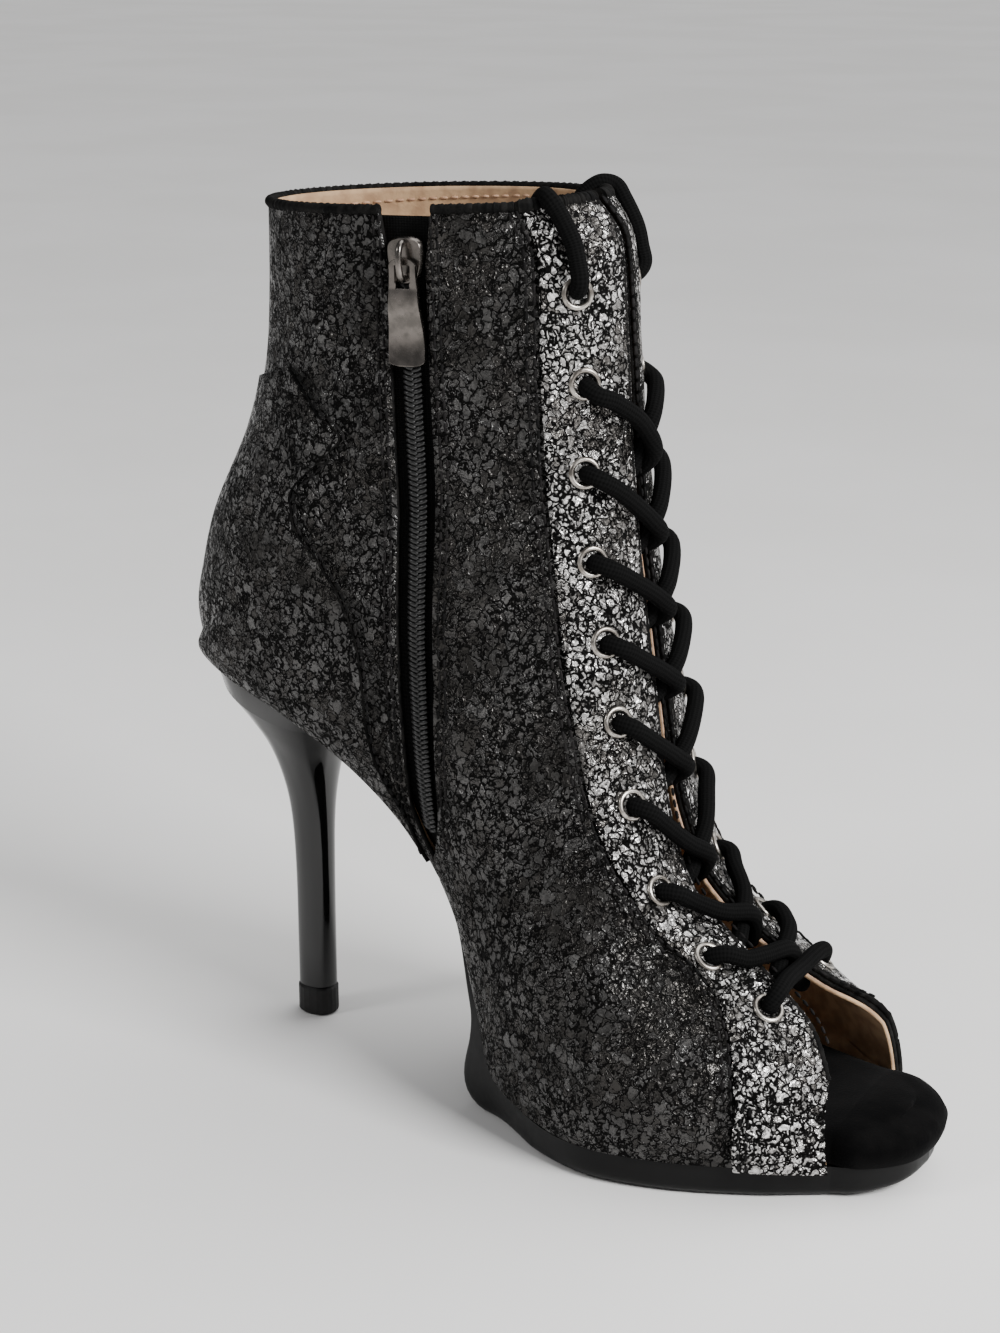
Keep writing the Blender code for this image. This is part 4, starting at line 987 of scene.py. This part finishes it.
# %% Stiletto heel
HEEL_COLUMNS = ("back_x", "back_z", "front_x", "front_z", "half_width")
HEEL_RINGS = np.array((
    (-0.0254, 0.0880, 0.0254, 0.0880, 0.0530), (-0.0255, 0.240, 0.0255, 0.240, 0.053),
    (-0.0260, 0.440, 0.0258, 0.440, 0.055), (-0.0295, 0.600, 0.0265, 0.590, 0.064),
    (-0.0385, 0.720, 0.0290, 0.685, 0.087), (-0.0570, 0.840, 0.0340, 0.765, 0.127),
    (-0.0850, 0.945, 0.0430, 0.830, 0.181), (-0.1110, 1.022, 0.0520, 0.884, 0.229),
))


def seat_value(x, name):
    """A size of the sole line over a place under the heel's seat."""
    places = section(np.linspace(0.48, 0.70, 60))
    order = np.argsort(places["back_x"])
    return np.interp(x, places["back_x"][order], places[name][order])


def make_heel():
    """Ring points: back + (front - back) (1 + cos a^p) / 2 along, half width times sin a across."""
    count = 64
    angle = 2 * np.pi * np.arange(count) / count
    along = np.cos(angle)
    along = np.sign(along) * np.abs(along) ** np.where(along > 0, 0.75, 1.0)
    part = (1 + along) / 2
    row = np.linspace(0, len(HEEL_RINGS) - 1, 70)
    columns = (smooth_between(HEEL_RINGS[:, i], row)[:, None] for i in range(len(HEEL_COLUMNS)))
    back_x, back_z, front_x, front_z, half = columns
    x = (back_x + (front_x - back_x) * part) * SHOE_LENGTH
    z = (back_z + (front_z - back_z) * part) * HEEL_LIFT
    y = half * BALL_WIDTH * np.sin(angle)
    rings = [np.stack([x, y, z], -1)]
    rim_along = np.cos(angle)
    rim_part = (1 + np.sign(rim_along) * np.abs(rim_along) ** np.where(rim_along > 0, 0.55, 1.0)) / 2
    back = section(np.array([0.70]))["back_x"][0] + 0.0006
    front = 0.062 * SHOE_LENGTH
    rim = np.maximum(seat_value(back + (front - back) * rim_part, "sole_medial") - 0.0006, 0.0)
    flat = np.where(np.cos(angle) > 0, np.abs(np.sin(angle)) ** 0.35, 1.0)
    for scale in (1.0, 0.97, 0.6, 0.15):
        rim_x = back + (front - back) * (0.5 + (rim_part - 0.5) * scale)
        rim_z = seat_value(rim_x, "back_z") - 0.0005
        rings.append(np.stack([rim_x, np.sign(np.sin(angle)) * rim * flat * scale, rim_z], -1)[None])
    rings = np.concatenate(rings)
    faces = grid_faces(len(rings), count, 0, False, True)
    made = make_piece("heel_body", rings, faces, (heel_gloss,), "shoe")
    fill_ends(made, False)
    return close_outward(made, 60.0)


heel = make_heel()
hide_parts("heel")
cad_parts["heel_tip"].data.materials.clear()
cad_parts["heel_tip"].data.materials.append(top_lift)
print("heel faces", len(heel.data.polygons))

# %% [markdown]
# An eyelet is a turned ring: a rolled flange outside and a barrel through the leather, its metal coloured
# dark to paint the shade inside the hole.

# %% Eyelets
def spot_frame(position, turn, side):
    """A point's normal, its direction toward the collar, and the one across both."""
    place = np.array([position], float)
    spin = np.array([turn], float)
    centre = last_point(place, spin, side)[0]
    normal = last_normal(place, spin, side)[0]
    along, _ = last_slopes(place, spin, side)
    tangent = along[0] - normal * (along[0] @ normal)
    tangent = tangent / np.linalg.norm(tangent)
    return centre, tangent, normal, np.cross(normal, tangent)


def make_eyelet(name, centre, tangent, normal, across, seat):
    """Points: centre + r (t cos a + b sin a) + n h over a closed profile of r and h."""
    sweep = np.linspace(math.radians(-20), math.radians(200), 12)
    middle = 0.00320
    bead = 0.00066
    profile = [(middle + bead * math.cos(a), seat + 0.00055 * math.sin(a)) for a in sweep]
    profile += [(0.00250, seat - 0.0010), (0.00250, -WALL - 0.0006), (0.00285, -WALL - 0.0006)]
    profile += [(0.00285, seat - 0.0004)]
    radius, height = np.array(profile).T
    count = 40
    angle = 2 * np.pi * np.arange(count) / count
    spoke = tangent * np.cos(angle)[:, None] + across * np.sin(angle)[:, None]
    rings = centre + spoke[:, None, :] * radius[None, :, None] + normal * height[None, :, None]
    rings = np.concatenate([rings, rings[:1]])
    size = len(profile)
    faces = grid_faces(count + 1, size, 0, False, True)
    # The barrel's faces get the darkened metal, painted shade inside the hole.
    marks = np.tile((np.arange(size) >= len(sweep) - 1).astype(int), count)
    made = make_piece(name, rings, faces, (aged_silver, barrel_painted_shade), "shoe", marks=marks)
    return close_outward(made, 60.0)


for side in SIDES:
    for number, (position, turn) in enumerate(EYELETS, 1):
        spot = spot_frame(position, turn, side)
        label = f"{SIDE_NAMES[side]}_{number}"
        ring = make_eyelet("eyelet_ring_" + label, *spot, 0.0002 + OVERLAY + 0.0002)
        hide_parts("eyelet_" + label)
print("eyelets", 2 * len(EYELETS))

# %% [markdown]
# A lace is a tube carried along a smooth route. Between two facings a strand leaves its
# eyelet, lies over the facing's edge, crosses the other strand in the gap, dives under the
# opposite facing and comes up in the next eyelet there.

# %% Tube along a route
def smooth_route(points, count):
    """A Catmull-Rom curve through the route's points, evenly spaced along its length."""
    points = np.asarray(points, float)
    share = np.linspace(0, len(points) - 1, 400)
    fine = np.stack([smooth_between(points[:, i], share) for i in range(3)], -1)
    run = np.concatenate([[0], np.cumsum(np.linalg.norm(np.diff(fine, axis=0), axis=1))])
    even = np.linspace(0, run[-1], count)
    return np.stack([np.interp(even, run, fine[:, i]) for i in range(3)], -1), run[-1]


def tube(name, route, count, width, finish, side_hint=(0.0, 0.0, 1.0), sides=20, pinch=(0.0, 0.0)):
    """Points: path + r (u cos a + v sin a), with u and v across the path. Its ends are domes.
    A pinch is the length at each end over which the tube is narrower, as in an eyelet."""
    path, length = smooth_route(route, count)
    tangent = unit(np.gradient(path, axis=0))
    hint = np.broadcast_to(np.asarray(side_hint, float), tangent.shape)
    first = unit(np.cross(tangent, hint))
    second = np.cross(tangent, first)
    angle = np.linspace(0, 2 * np.pi, sides + 1)
    spoke = spokes(first, second, angle)
    spots = np.linspace(0, length, count)
    grow = np.ones(count)
    for reach, away in zip(pinch, (spots, length - spots)):
        if reach:
            share = np.clip((away - reach * 0.6) / (reach * 0.7), 0, 1)
            grow = np.minimum(grow, 0.60 + 0.40 * share * share * (3 - 2 * share))
    radius = grow * width / 2
    body = path[:, None] + spoke * radius[:, None, None]
    caps = []
    for end, sign in ((0, -1), (-1, 1)):
        for share, reach in ((0.88, 0.45), (0.55, 0.82), (0.0, 1.0)):
            tip = path[end] + tangent[end] * sign * reach * radius[end]
            caps.append(tip + spoke[end] * radius[end] * share)
    rings = np.concatenate([np.array(caps[:3])[::-1], body, np.array(caps[3:])])
    before = np.linspace(-width / 2, 0, 4)[:-1]
    after = length + np.linspace(0, width / 2, 4)[1:]
    run = np.concatenate([before, spots, after])
    shares = np.stack(np.broadcast_arrays(angle[None, :] / (2 * np.pi), run[:, None]), -1)
    made = make_piece(
        name, rings, grid_faces(len(rings), sides + 1, 0, False), (finish,), "shoe", shares=shares)
    close_outward(made, 80.0)
    return made, path, length


# %% [markdown]
# Now the lace itself. Numbers 2 to 9 have a strand from each side, which hangs a little
# below its eyelet. At each crossing one strand lies over the other. The last crossing hangs
# less low, because the straight bar at the lowest eyelets needs the room.

# %% Lacing
OVER = 0.0002 + OVERLAY + LACE / 2
UNDER = -WALL - LACE / 2 - 0.0004


def facing_point(position, side, back, height):
    """A point near the facing's edge: back is a distance away from the gap, in turn."""
    return skin_spot(position, facing_turn(np.array([position]), side)[0] - back, side, height)


def eyelet_point(number, side, height):
    """The middle of an eyelet, numbered from the top, at a height."""
    return skin_spot(*EYELETS[number - 1], side, height)


def strand_route(number, side, lift):
    """Out of an eyelet, down over the edge, through the crossing, and up into the next one."""
    here, turn = EYELETS[number - 1]
    step = EYELETS[number][0] - here
    gap = facing_turn(np.array([here + step * 0.5]), side)[0] - turn

    def on_leather(down, across, height):
        return skin_spot(here + step * down, turn + gap * across, side, height)

    low = 0.70 if number == len(EYELETS) - 1 else 1.0
    middle = here + step * 1.02 * low
    near, far = (facing_point(middle, way * side, 0.0, OVER + lift) for way in (1, -1))
    return [
        eyelet_point(number, side, -WALL - 0.0030),
        eyelet_point(number, side, 0.0002),
        on_leather(0.14, 0.16, OVER + 0.0004),
        on_leather(0.40, 0.45, OVER + 0.0006),
        facing_point(here + step * 0.78 * low, side, 0.010, OVER + 0.0006 + lift * 0.3),
        (near + far) / 2,
        facing_point(here + step * (0.30 + 0.88 * low), -side, -0.004, UNDER * 0.3),
        facing_point(here + step * (0.40 + 0.76 * low), -side, 0.030, UNDER - 0.0004),
        eyelet_point(number + 1, -side, UNDER - 0.0014),
    ]


for number in range(2, len(EYELETS)):
    for side in SIDES:
        lift = 0.0018 if side < 0 else -0.0022
        route = strand_route(number, side, lift)
        piece, _, _ = tube(
            f"lace_{number}_{SIDE_NAMES[side]}", route, 90, LACE, lace_black, pinch=(0.0058, 0.0))
        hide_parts(f"lace_crossing_{number}")

LOWEST = EYELETS[-1][0]
half_bar = {
    side: [
        eyelet_point(10, side, -WALL - 0.0030), eyelet_point(10, side, 0.0006),
        skin_spot(LOWEST, 0.875, side, OVER + 0.0008), facing_point(LOWEST, side, 0.004, OVER + 0.0006),
    ]
    for side in SIDES
}
bar_middle = (facing_point(LOWEST, -1, 0.0, OVER) + facing_point(LOWEST, 1, 0.0, OVER)) / 2
bar_route = [*half_bar[-1], bar_middle, *half_bar[1][::-1]]
bar, _, _ = tube(
    "lace_bottom_strand", bar_route, 90, LACE, lace_black, (0.3, 0.0, 1.0), pinch=(0.0062, 0.0062))
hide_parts("lace_bottom_bar")
print("lace strands", 2 * (len(EYELETS) - 2) + 1)

# %% [markdown]
# The two loose ends come out of the top eyelets, go up the outside and over the collar, and
# stop inside it. They are the only free cords, so their length is printed.

# %% Loose lace ends
END_ROUTE = (
    (0.888, 0.845, 0.0040), (0.915, 0.842, 0.0039), (0.946, 0.838, 0.0038),
    (0.976, 0.835, 0.0037), (1.000, 0.833, 0.0034),
)
END_OVER = 0.0022
END_INSIDE = ((1.000, 0.828, -0.0058), (0.967, 0.824, -0.0052), (0.934, 0.820, -0.0050))
for side in SIDES:
    outside, inside = ([skin_spot(p, t, side, h) for p, t, h in part] for part in (END_ROUTE, END_INSIDE))
    rim = (outside[-1] + inside[0]) / 2 + np.array([0, 0, END_OVER])
    name = "lace_end_" + SIDE_NAMES[side]
    hole = [eyelet_point(1, side, -WALL - 0.0030), eyelet_point(1, side, 0.0004)]
    piece, path, length = tube(
        name + "_strand", [*hole, *outside, rim, *inside], 90, LACE, lace_black,
        (0.0, 1.0, 0.0), pinch=(0.0062, 0.0))
    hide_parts(name)
    print(name, "length", round(float(length), 4))

# %% [markdown]
# Stitches are small threads, each a capsule half sunk in the leather. A row is a line beside
# an edge, cut into steps of one stitch and one gap, with the capsule copied to every step.

# %% Stitch rows
STITCH_LENGTH = 0.0021
STITCH_STEP = 0.0028
STITCH_RADIUS = 0.00040
CAPSULE_SIDES = 6
CAPSULE = np.array(((-0.5, 0.0), (-0.42, 0.72), (0.0, 1.0), (0.42, 0.72), (0.5, 0.0)))


def capsules(name, centre, along, normal, length, radius, finish):
    """Copies of a capsule: centre + along l + r (b cos a + n sin a) over its profile."""
    across = np.cross(along, normal)
    angle = 2 * np.pi * np.arange(CAPSULE_SIDES) / CAPSULE_SIDES
    spoke = spokes(across, normal, angle)
    reach, swell = CAPSULE.T
    points = (
        centre[:, None, None] + along[:, None, None] * (reach * length)[None, :, None, None]
        + spoke[:, None] * (swell * radius)[None, :, None, None]
    )
    block = grid_faces(len(CAPSULE), CAPSULE_SIDES, 0, False, True)
    per = len(CAPSULE) * CAPSULE_SIDES
    faces = (block[None] + (np.arange(len(centre)) * per)[:, None, None]).reshape(-1, 4)
    made = make_piece(name, points, faces, (finish,), "shoe", merge=0.000001)
    return close_outward(made, 80.0)


def even_line(points, normals, step):
    """A line cut into equal steps: the middles, their directions and their normals."""
    run = np.concatenate([[0], np.cumsum(np.linalg.norm(np.diff(points, axis=0), axis=1))])
    count = max(int(run[-1] / step), 2)
    even = (np.arange(count) + 0.5) * run[-1] / count
    spots, lifts = (
        np.stack([np.interp(even, run, values[:, i]) for i in range(3)], -1) for values in (points, normals))
    return spots, unit(np.gradient(spots, axis=0)), unit(lifts)


def stitch_row(name, positions, turns, side, aside, height, finish=thread_black):
    """A row of stitches beside a line of the skin, at a signed distance to the line's left."""
    points = skin(positions, turns, side, np.full_like(positions, height))
    normals = last_normal(positions, turns, side) * (1 if height > -WALL else -1)
    across = unit(np.cross(normals, np.gradient(points, axis=0)))
    spots, along, lifts = even_line(points + across * aside, normals, STITCH_STEP)
    return capsules(name, spots, along, lifts, STITCH_LENGTH, STITCH_RADIUS, finish)


top_of_stay = 0.0002 + OVERLAY + 0.0001
for side in SIDES:
    label = SIDE_NAMES[side]
    back = np.linspace(EYESTAY_EDGE[0][0], 0.996, 500)
    edge_turns = curve_through(EYESTAY_EDGE, back)
    for row, aside in enumerate((0.0014, 0.0032)):
        stitch_row(f"stitch_stay_{label}_{row}", back, edge_turns, side, -side * aside, top_of_stay)
        corner = np.full(120, EYESTAY_EDGE[0][0])
        falls = np.linspace(0.03, EYESTAY_EDGE[0][1], 120)
        stitch_row(f"stitch_vamp_{label}_{row}", corner, falls, side, side * aside, top_of_stay)
    facing_rows = np.linspace(0.03, 0.995, 500)
    facing = facing_turn(facing_rows, side)
    stitch_row(f"stitch_facing_{label}", facing_rows, facing, side, side * 0.0019, top_of_stay)
    counter_rows = np.linspace(COUNTER_EDGE[0][0] + 0.01, COUNTER_EDGE[-1][0] - 0.004, 400)
    stitch_row(
        f"stitch_counter_{label}", counter_rows, curve_through(COUNTER_EDGE, counter_rows), side,
        side * 0.0016, 0.0012)
zip_rows = np.linspace(ZIP_LOW + 0.006, 0.994, 500)
for row, distance in enumerate((-0.0082, -0.0066, 0.0066, 0.0082)):
    places, spins = zip_side(zip_rows, np.full_like(zip_rows, distance))
    stitch_row(f"stitch_zip_{row}", np.clip(places, 0, 1), spins, -1, 0.0, 0.0001)
LINING_ROW = 0.988
for side in SIDES:
    turns = np.linspace(0.004, float(facing_turn(np.array([LINING_ROW]), side)[0]) - 0.01, 300)
    places = np.full_like(turns, LINING_ROW)
    away = np.abs(turns - float(zip_turn(np.array([LINING_ROW]))[0])) > 0.06
    keep = away if side < 0 else np.full_like(away, True)
    for part, chosen in enumerate((keep & (turns < 0.55), keep & (turns >= 0.55))):
        stitch_row(
            f"stitch_lining_{SIDE_NAMES[side]}_{part}", places[chosen], turns[chosen], side, 0.0,
            -WALL - 0.0001, thread_tan)
print("stitch rows made")

# %% [markdown]
# The zip: a woven tape behind the slot, two rows of coil teeth that meet in the middle, a
# slider with a bridge, and a pull tab that hangs from it.

# %% Zip tape and coil
def zip_line(positions, distance, height):
    """A line beside the zip's route at a distance and a height over the skin."""
    places, spins = zip_side(positions, np.full_like(positions, distance))
    return skin(np.clip(places, 0, 1), spins, -1, np.full_like(positions, height))


rows = np.linspace(ZIP_LOW - 0.002, 0.990, 200)
lines = [zip_line(rows, distance, -WALL - 0.0006) for distance in np.linspace(-0.0095, 0.0095, 15)]
shares = np.stack(np.broadcast_arrays(
    np.linspace(0, 1, 15)[None, :], (np.arange(200) * 0.00075)[:, None]), -1)
tape = make_piece(
    "zip_tape_woven", np.stack(lines, 1), grid_faces(200, 15, 0, True), (tape_black,), "shoe",
    shares=shares)
thicken(tape, 0.0007, -1)
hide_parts("zip_tape")

coil_rows = np.linspace(ZIP_LOW + 0.010, 0.935, 600)
for row, distance in enumerate((-0.00105, 0.00105)):
    points = zip_line(coil_rows, distance, -WALL + 0.0009)
    places, spins = zip_side(coil_rows, np.full_like(coil_rows, distance))
    normals = last_normal(np.clip(places, 0, 1), spins, -1)
    spots, along, lifts = even_line(points, normals, 0.00125)
    spots = spots + along * 0.0003 * (1 if row else -1)
    across = np.cross(lifts, along)
    slant = unit(across * (1 if row else -1) + along * 0.38)
    teeth = capsules(f"zip_teeth_{row}", spots, slant, lifts, 0.0030, 0.00068, coil_black)
    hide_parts("zip_coil")
print("zip teeth per row", len(spots))

# %% [markdown]
# The slider and the pull tab are small castings. The slider is a shield that narrows toward
# the closed side, with an arched bridge. The pull is a wavy plate with a window at its top.

# %% Slider and pull tab
SLIDER_PLACE = 0.957
slider_turn = float(zip_turn(np.array([SLIDER_PLACE]))[0])
centre, _, normal, _ = spot_frame(SLIDER_PLACE, slider_turn, -1)
tangent = zip_tangent(np.array([SLIDER_PLACE]))[0]
side_axis = np.cross(tangent, normal)
to_world = np.stack([side_axis, tangent, normal], 0)


def placed(points, height=0.0):
    """Points of a small casting, X across, Y toward the collar, Z outward, put in the world."""
    return np.asarray(points) @ to_world + centre + normal * height


def plate(half_width, along, thickness, base):
    """A plate with rounded edges: a grid of its outline's half width, carried through five layers."""
    count = len(along)
    share = np.linspace(-1, 1, 13)
    layers = []
    for inset, level in ((0.0004, 0.0), (0.0, 0.3), (0.0, 0.7), (0.0004, 1.0)):
        across = share[None, :] * (half_width[:, None] - inset)
        stretch = along * (1 - inset / np.abs(along).max())
        z = np.full((count, len(share)), base + thickness * level)
        layers.append(np.stack([across, np.repeat(stretch[:, None], len(share), 1), z], -1))
    low, high = layers[0], layers[-1]
    border = [np.concatenate([l[:, 0], l[-1, 1:], l[::-1, -1][1:], l[0, ::-1][1:-1]]) for l in layers]
    rim = np.stack(border)
    points = np.concatenate([low.reshape(-1, 3), high.reshape(-1, 3), rim.reshape(-1, 3)])
    size = count * len(share)
    faces = np.concatenate([
        grid_faces(count, len(share), 0, True), grid_faces(count, len(share), size, False),
        grid_faces(len(border), rim.shape[1], 2 * size, False, True),
    ])
    return points, faces


slide = np.linspace(-0.0055, 0.0055, 24)
outline = 0.0030 + 0.0016 * np.sin((slide + 0.0055) / 0.011 * np.pi * 0.72)
outline = outline * np.clip(np.sqrt(1 - (slide / 0.0056) ** 8), 0.3, 1)
points, faces = plate(outline, slide, 0.0026, -WALL + 0.0006)
slider = make_piece("slider_body", placed(points), faces, (gunmetal,), "shoe")
close_outward(slider, 35.0)
bridge_route = [(0, -0.0040, 0.0006), (0, -0.0041, 0.0020), (0, -0.0028, 0.0034), (0, 0.0, 0.0038),
                (0, 0.0028, 0.0034), (0, 0.0041, 0.0020), (0, 0.0040, 0.0006)]
bridge, _, _ = tube(
    "slider_bridge", placed(bridge_route), 40, 0.0016, gunmetal, tuple(side_axis), 14)
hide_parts("zip_slider")
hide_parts("zip_slider")
print("slider at", centre.round(4))


# %% [markdown]
# The pull tab hangs down from the bridge. It is a grid of faces without those of its window,
# given a thickness and soft edges, and it rides on the body of its own.

# %% Pull tab
def pull_outline():
    """Half widths of the tab along its length: a head with a window, then a waved tail."""
    down = np.linspace(0.0, 0.0250, 70)
    half = 0.0034 + 0.0013 * np.clip((down - 0.004) / 0.016, 0, 1)
    half = half * np.clip(1 - ((0.0014 - down) / 0.0020).clip(0) ** 2, 0.4, 1)
    tail = np.clip((down - 0.0238) / 0.0013, 0, 1)
    return down, half * np.sqrt(np.clip(1 - tail**2, 0.1, 1))


def make_pull():
    """A flat grid cut out at its window, waved along its length, and then thickened."""
    down, half = pull_outline()
    window_low, window_high, window_half = 0.0014, 0.0068, 0.0019
    share = np.linspace(-1, 1, 25)
    across = share[None, :] * half[:, None]
    depth = np.repeat(down[:, None], len(share), 1)
    wave = 0.0007 * np.sin(down / 0.0250 * np.pi * 2.0) * np.clip((down - 0.007) / 0.006, 0, 1)
    level = np.repeat(wave[:, None], len(share), 1)
    grid = np.stack([across, 0.0006 - depth, level], -1)
    faces = grid_faces(len(down), len(share), 0, False)
    middle = grid.reshape(-1, 3)[faces].mean(1)
    inside = (np.abs(middle[:, 0]) < window_half) & (0.0006 - middle[:, 1] > window_low) & (
        0.0006 - middle[:, 1] < window_high)
    corners = placed(grid.reshape(-1, 3), 0.0018)
    made = make_piece("pull_plate", corners, faces[~inside], (gunmetal,), "pull_tab")
    thicken(made, 0.0012, 0)
    soften = made.modifiers.new("rounded", "BEVEL")
    soften.width = 0.00022
    soften.segments = 2
    soften.limit_method = "ANGLE"
    return made


pull = make_pull()
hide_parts("zip_pull")
print("pull faces", len(pull.data.polygons))

# %% [markdown]
# The floor is pale and plain. A soft light from the front right draws the glints on the foil,
# a weak one from the left keeps the heel readable, and a wide high sun lights the floor.

# %% Floor and lights
floor_finish = grained("pale_floor", (0.80, 0.79, 0.775), (0.84, 0.83, 0.82), 0.65, 60.0, 0.00002, 4.0)
floor_mesh = bpy.data.meshes.new("floor")
floor_mesh.from_pydata([(-12, -12, 0), (12, -12, 0), (12, 12, 0), (-12, 12, 0)], [], [(0, 1, 2, 3)])
floor_mesh.materials.append(floor_finish)
in_scene("floor", floor_mesh)


def soft_light(name, place, aim, size, power):
    """An area light turned toward a point."""
    data = bpy.data.lights.new(name, "AREA")
    data.shape = "RECTANGLE"
    data.size = size
    data.size_y = size
    data.energy = power
    made = in_scene(name, data)
    made.location = place
    direction = np.array(aim) - np.array(place)
    level = math.hypot(direction[0], direction[1])
    turn = math.atan2(direction[1], direction[0]) - math.pi / 2
    made.rotation_euler = (math.atan2(level, -direction[2]), 0, turn)


soft_light("key", (1.05, -0.20, 0.75), (0.06, 0.0, 0.12), 0.45, 24.0)
soft_light("side", (-0.75, -1.0, 0.95), (0.05, 0.0, 0.10), 0.35, 6.0)
sun_data = bpy.data.lights.new("high_sun", "SUN")
sun_data.angle = math.radians(70)
sun_data.energy = 2.3
in_scene("high_sun", sun_data).rotation_euler = (math.radians(-32), math.radians(18), 0)
world = bpy.data.worlds.new("studio")
bpy.context.scene.world = world
world.use_nodes = True
world.node_tree.nodes["Background"].inputs[0].default_value = (0.93, 0.94, 0.96, 1)
world.node_tree.nodes["Background"].inputs[1].default_value = 0.26
print("stage set")
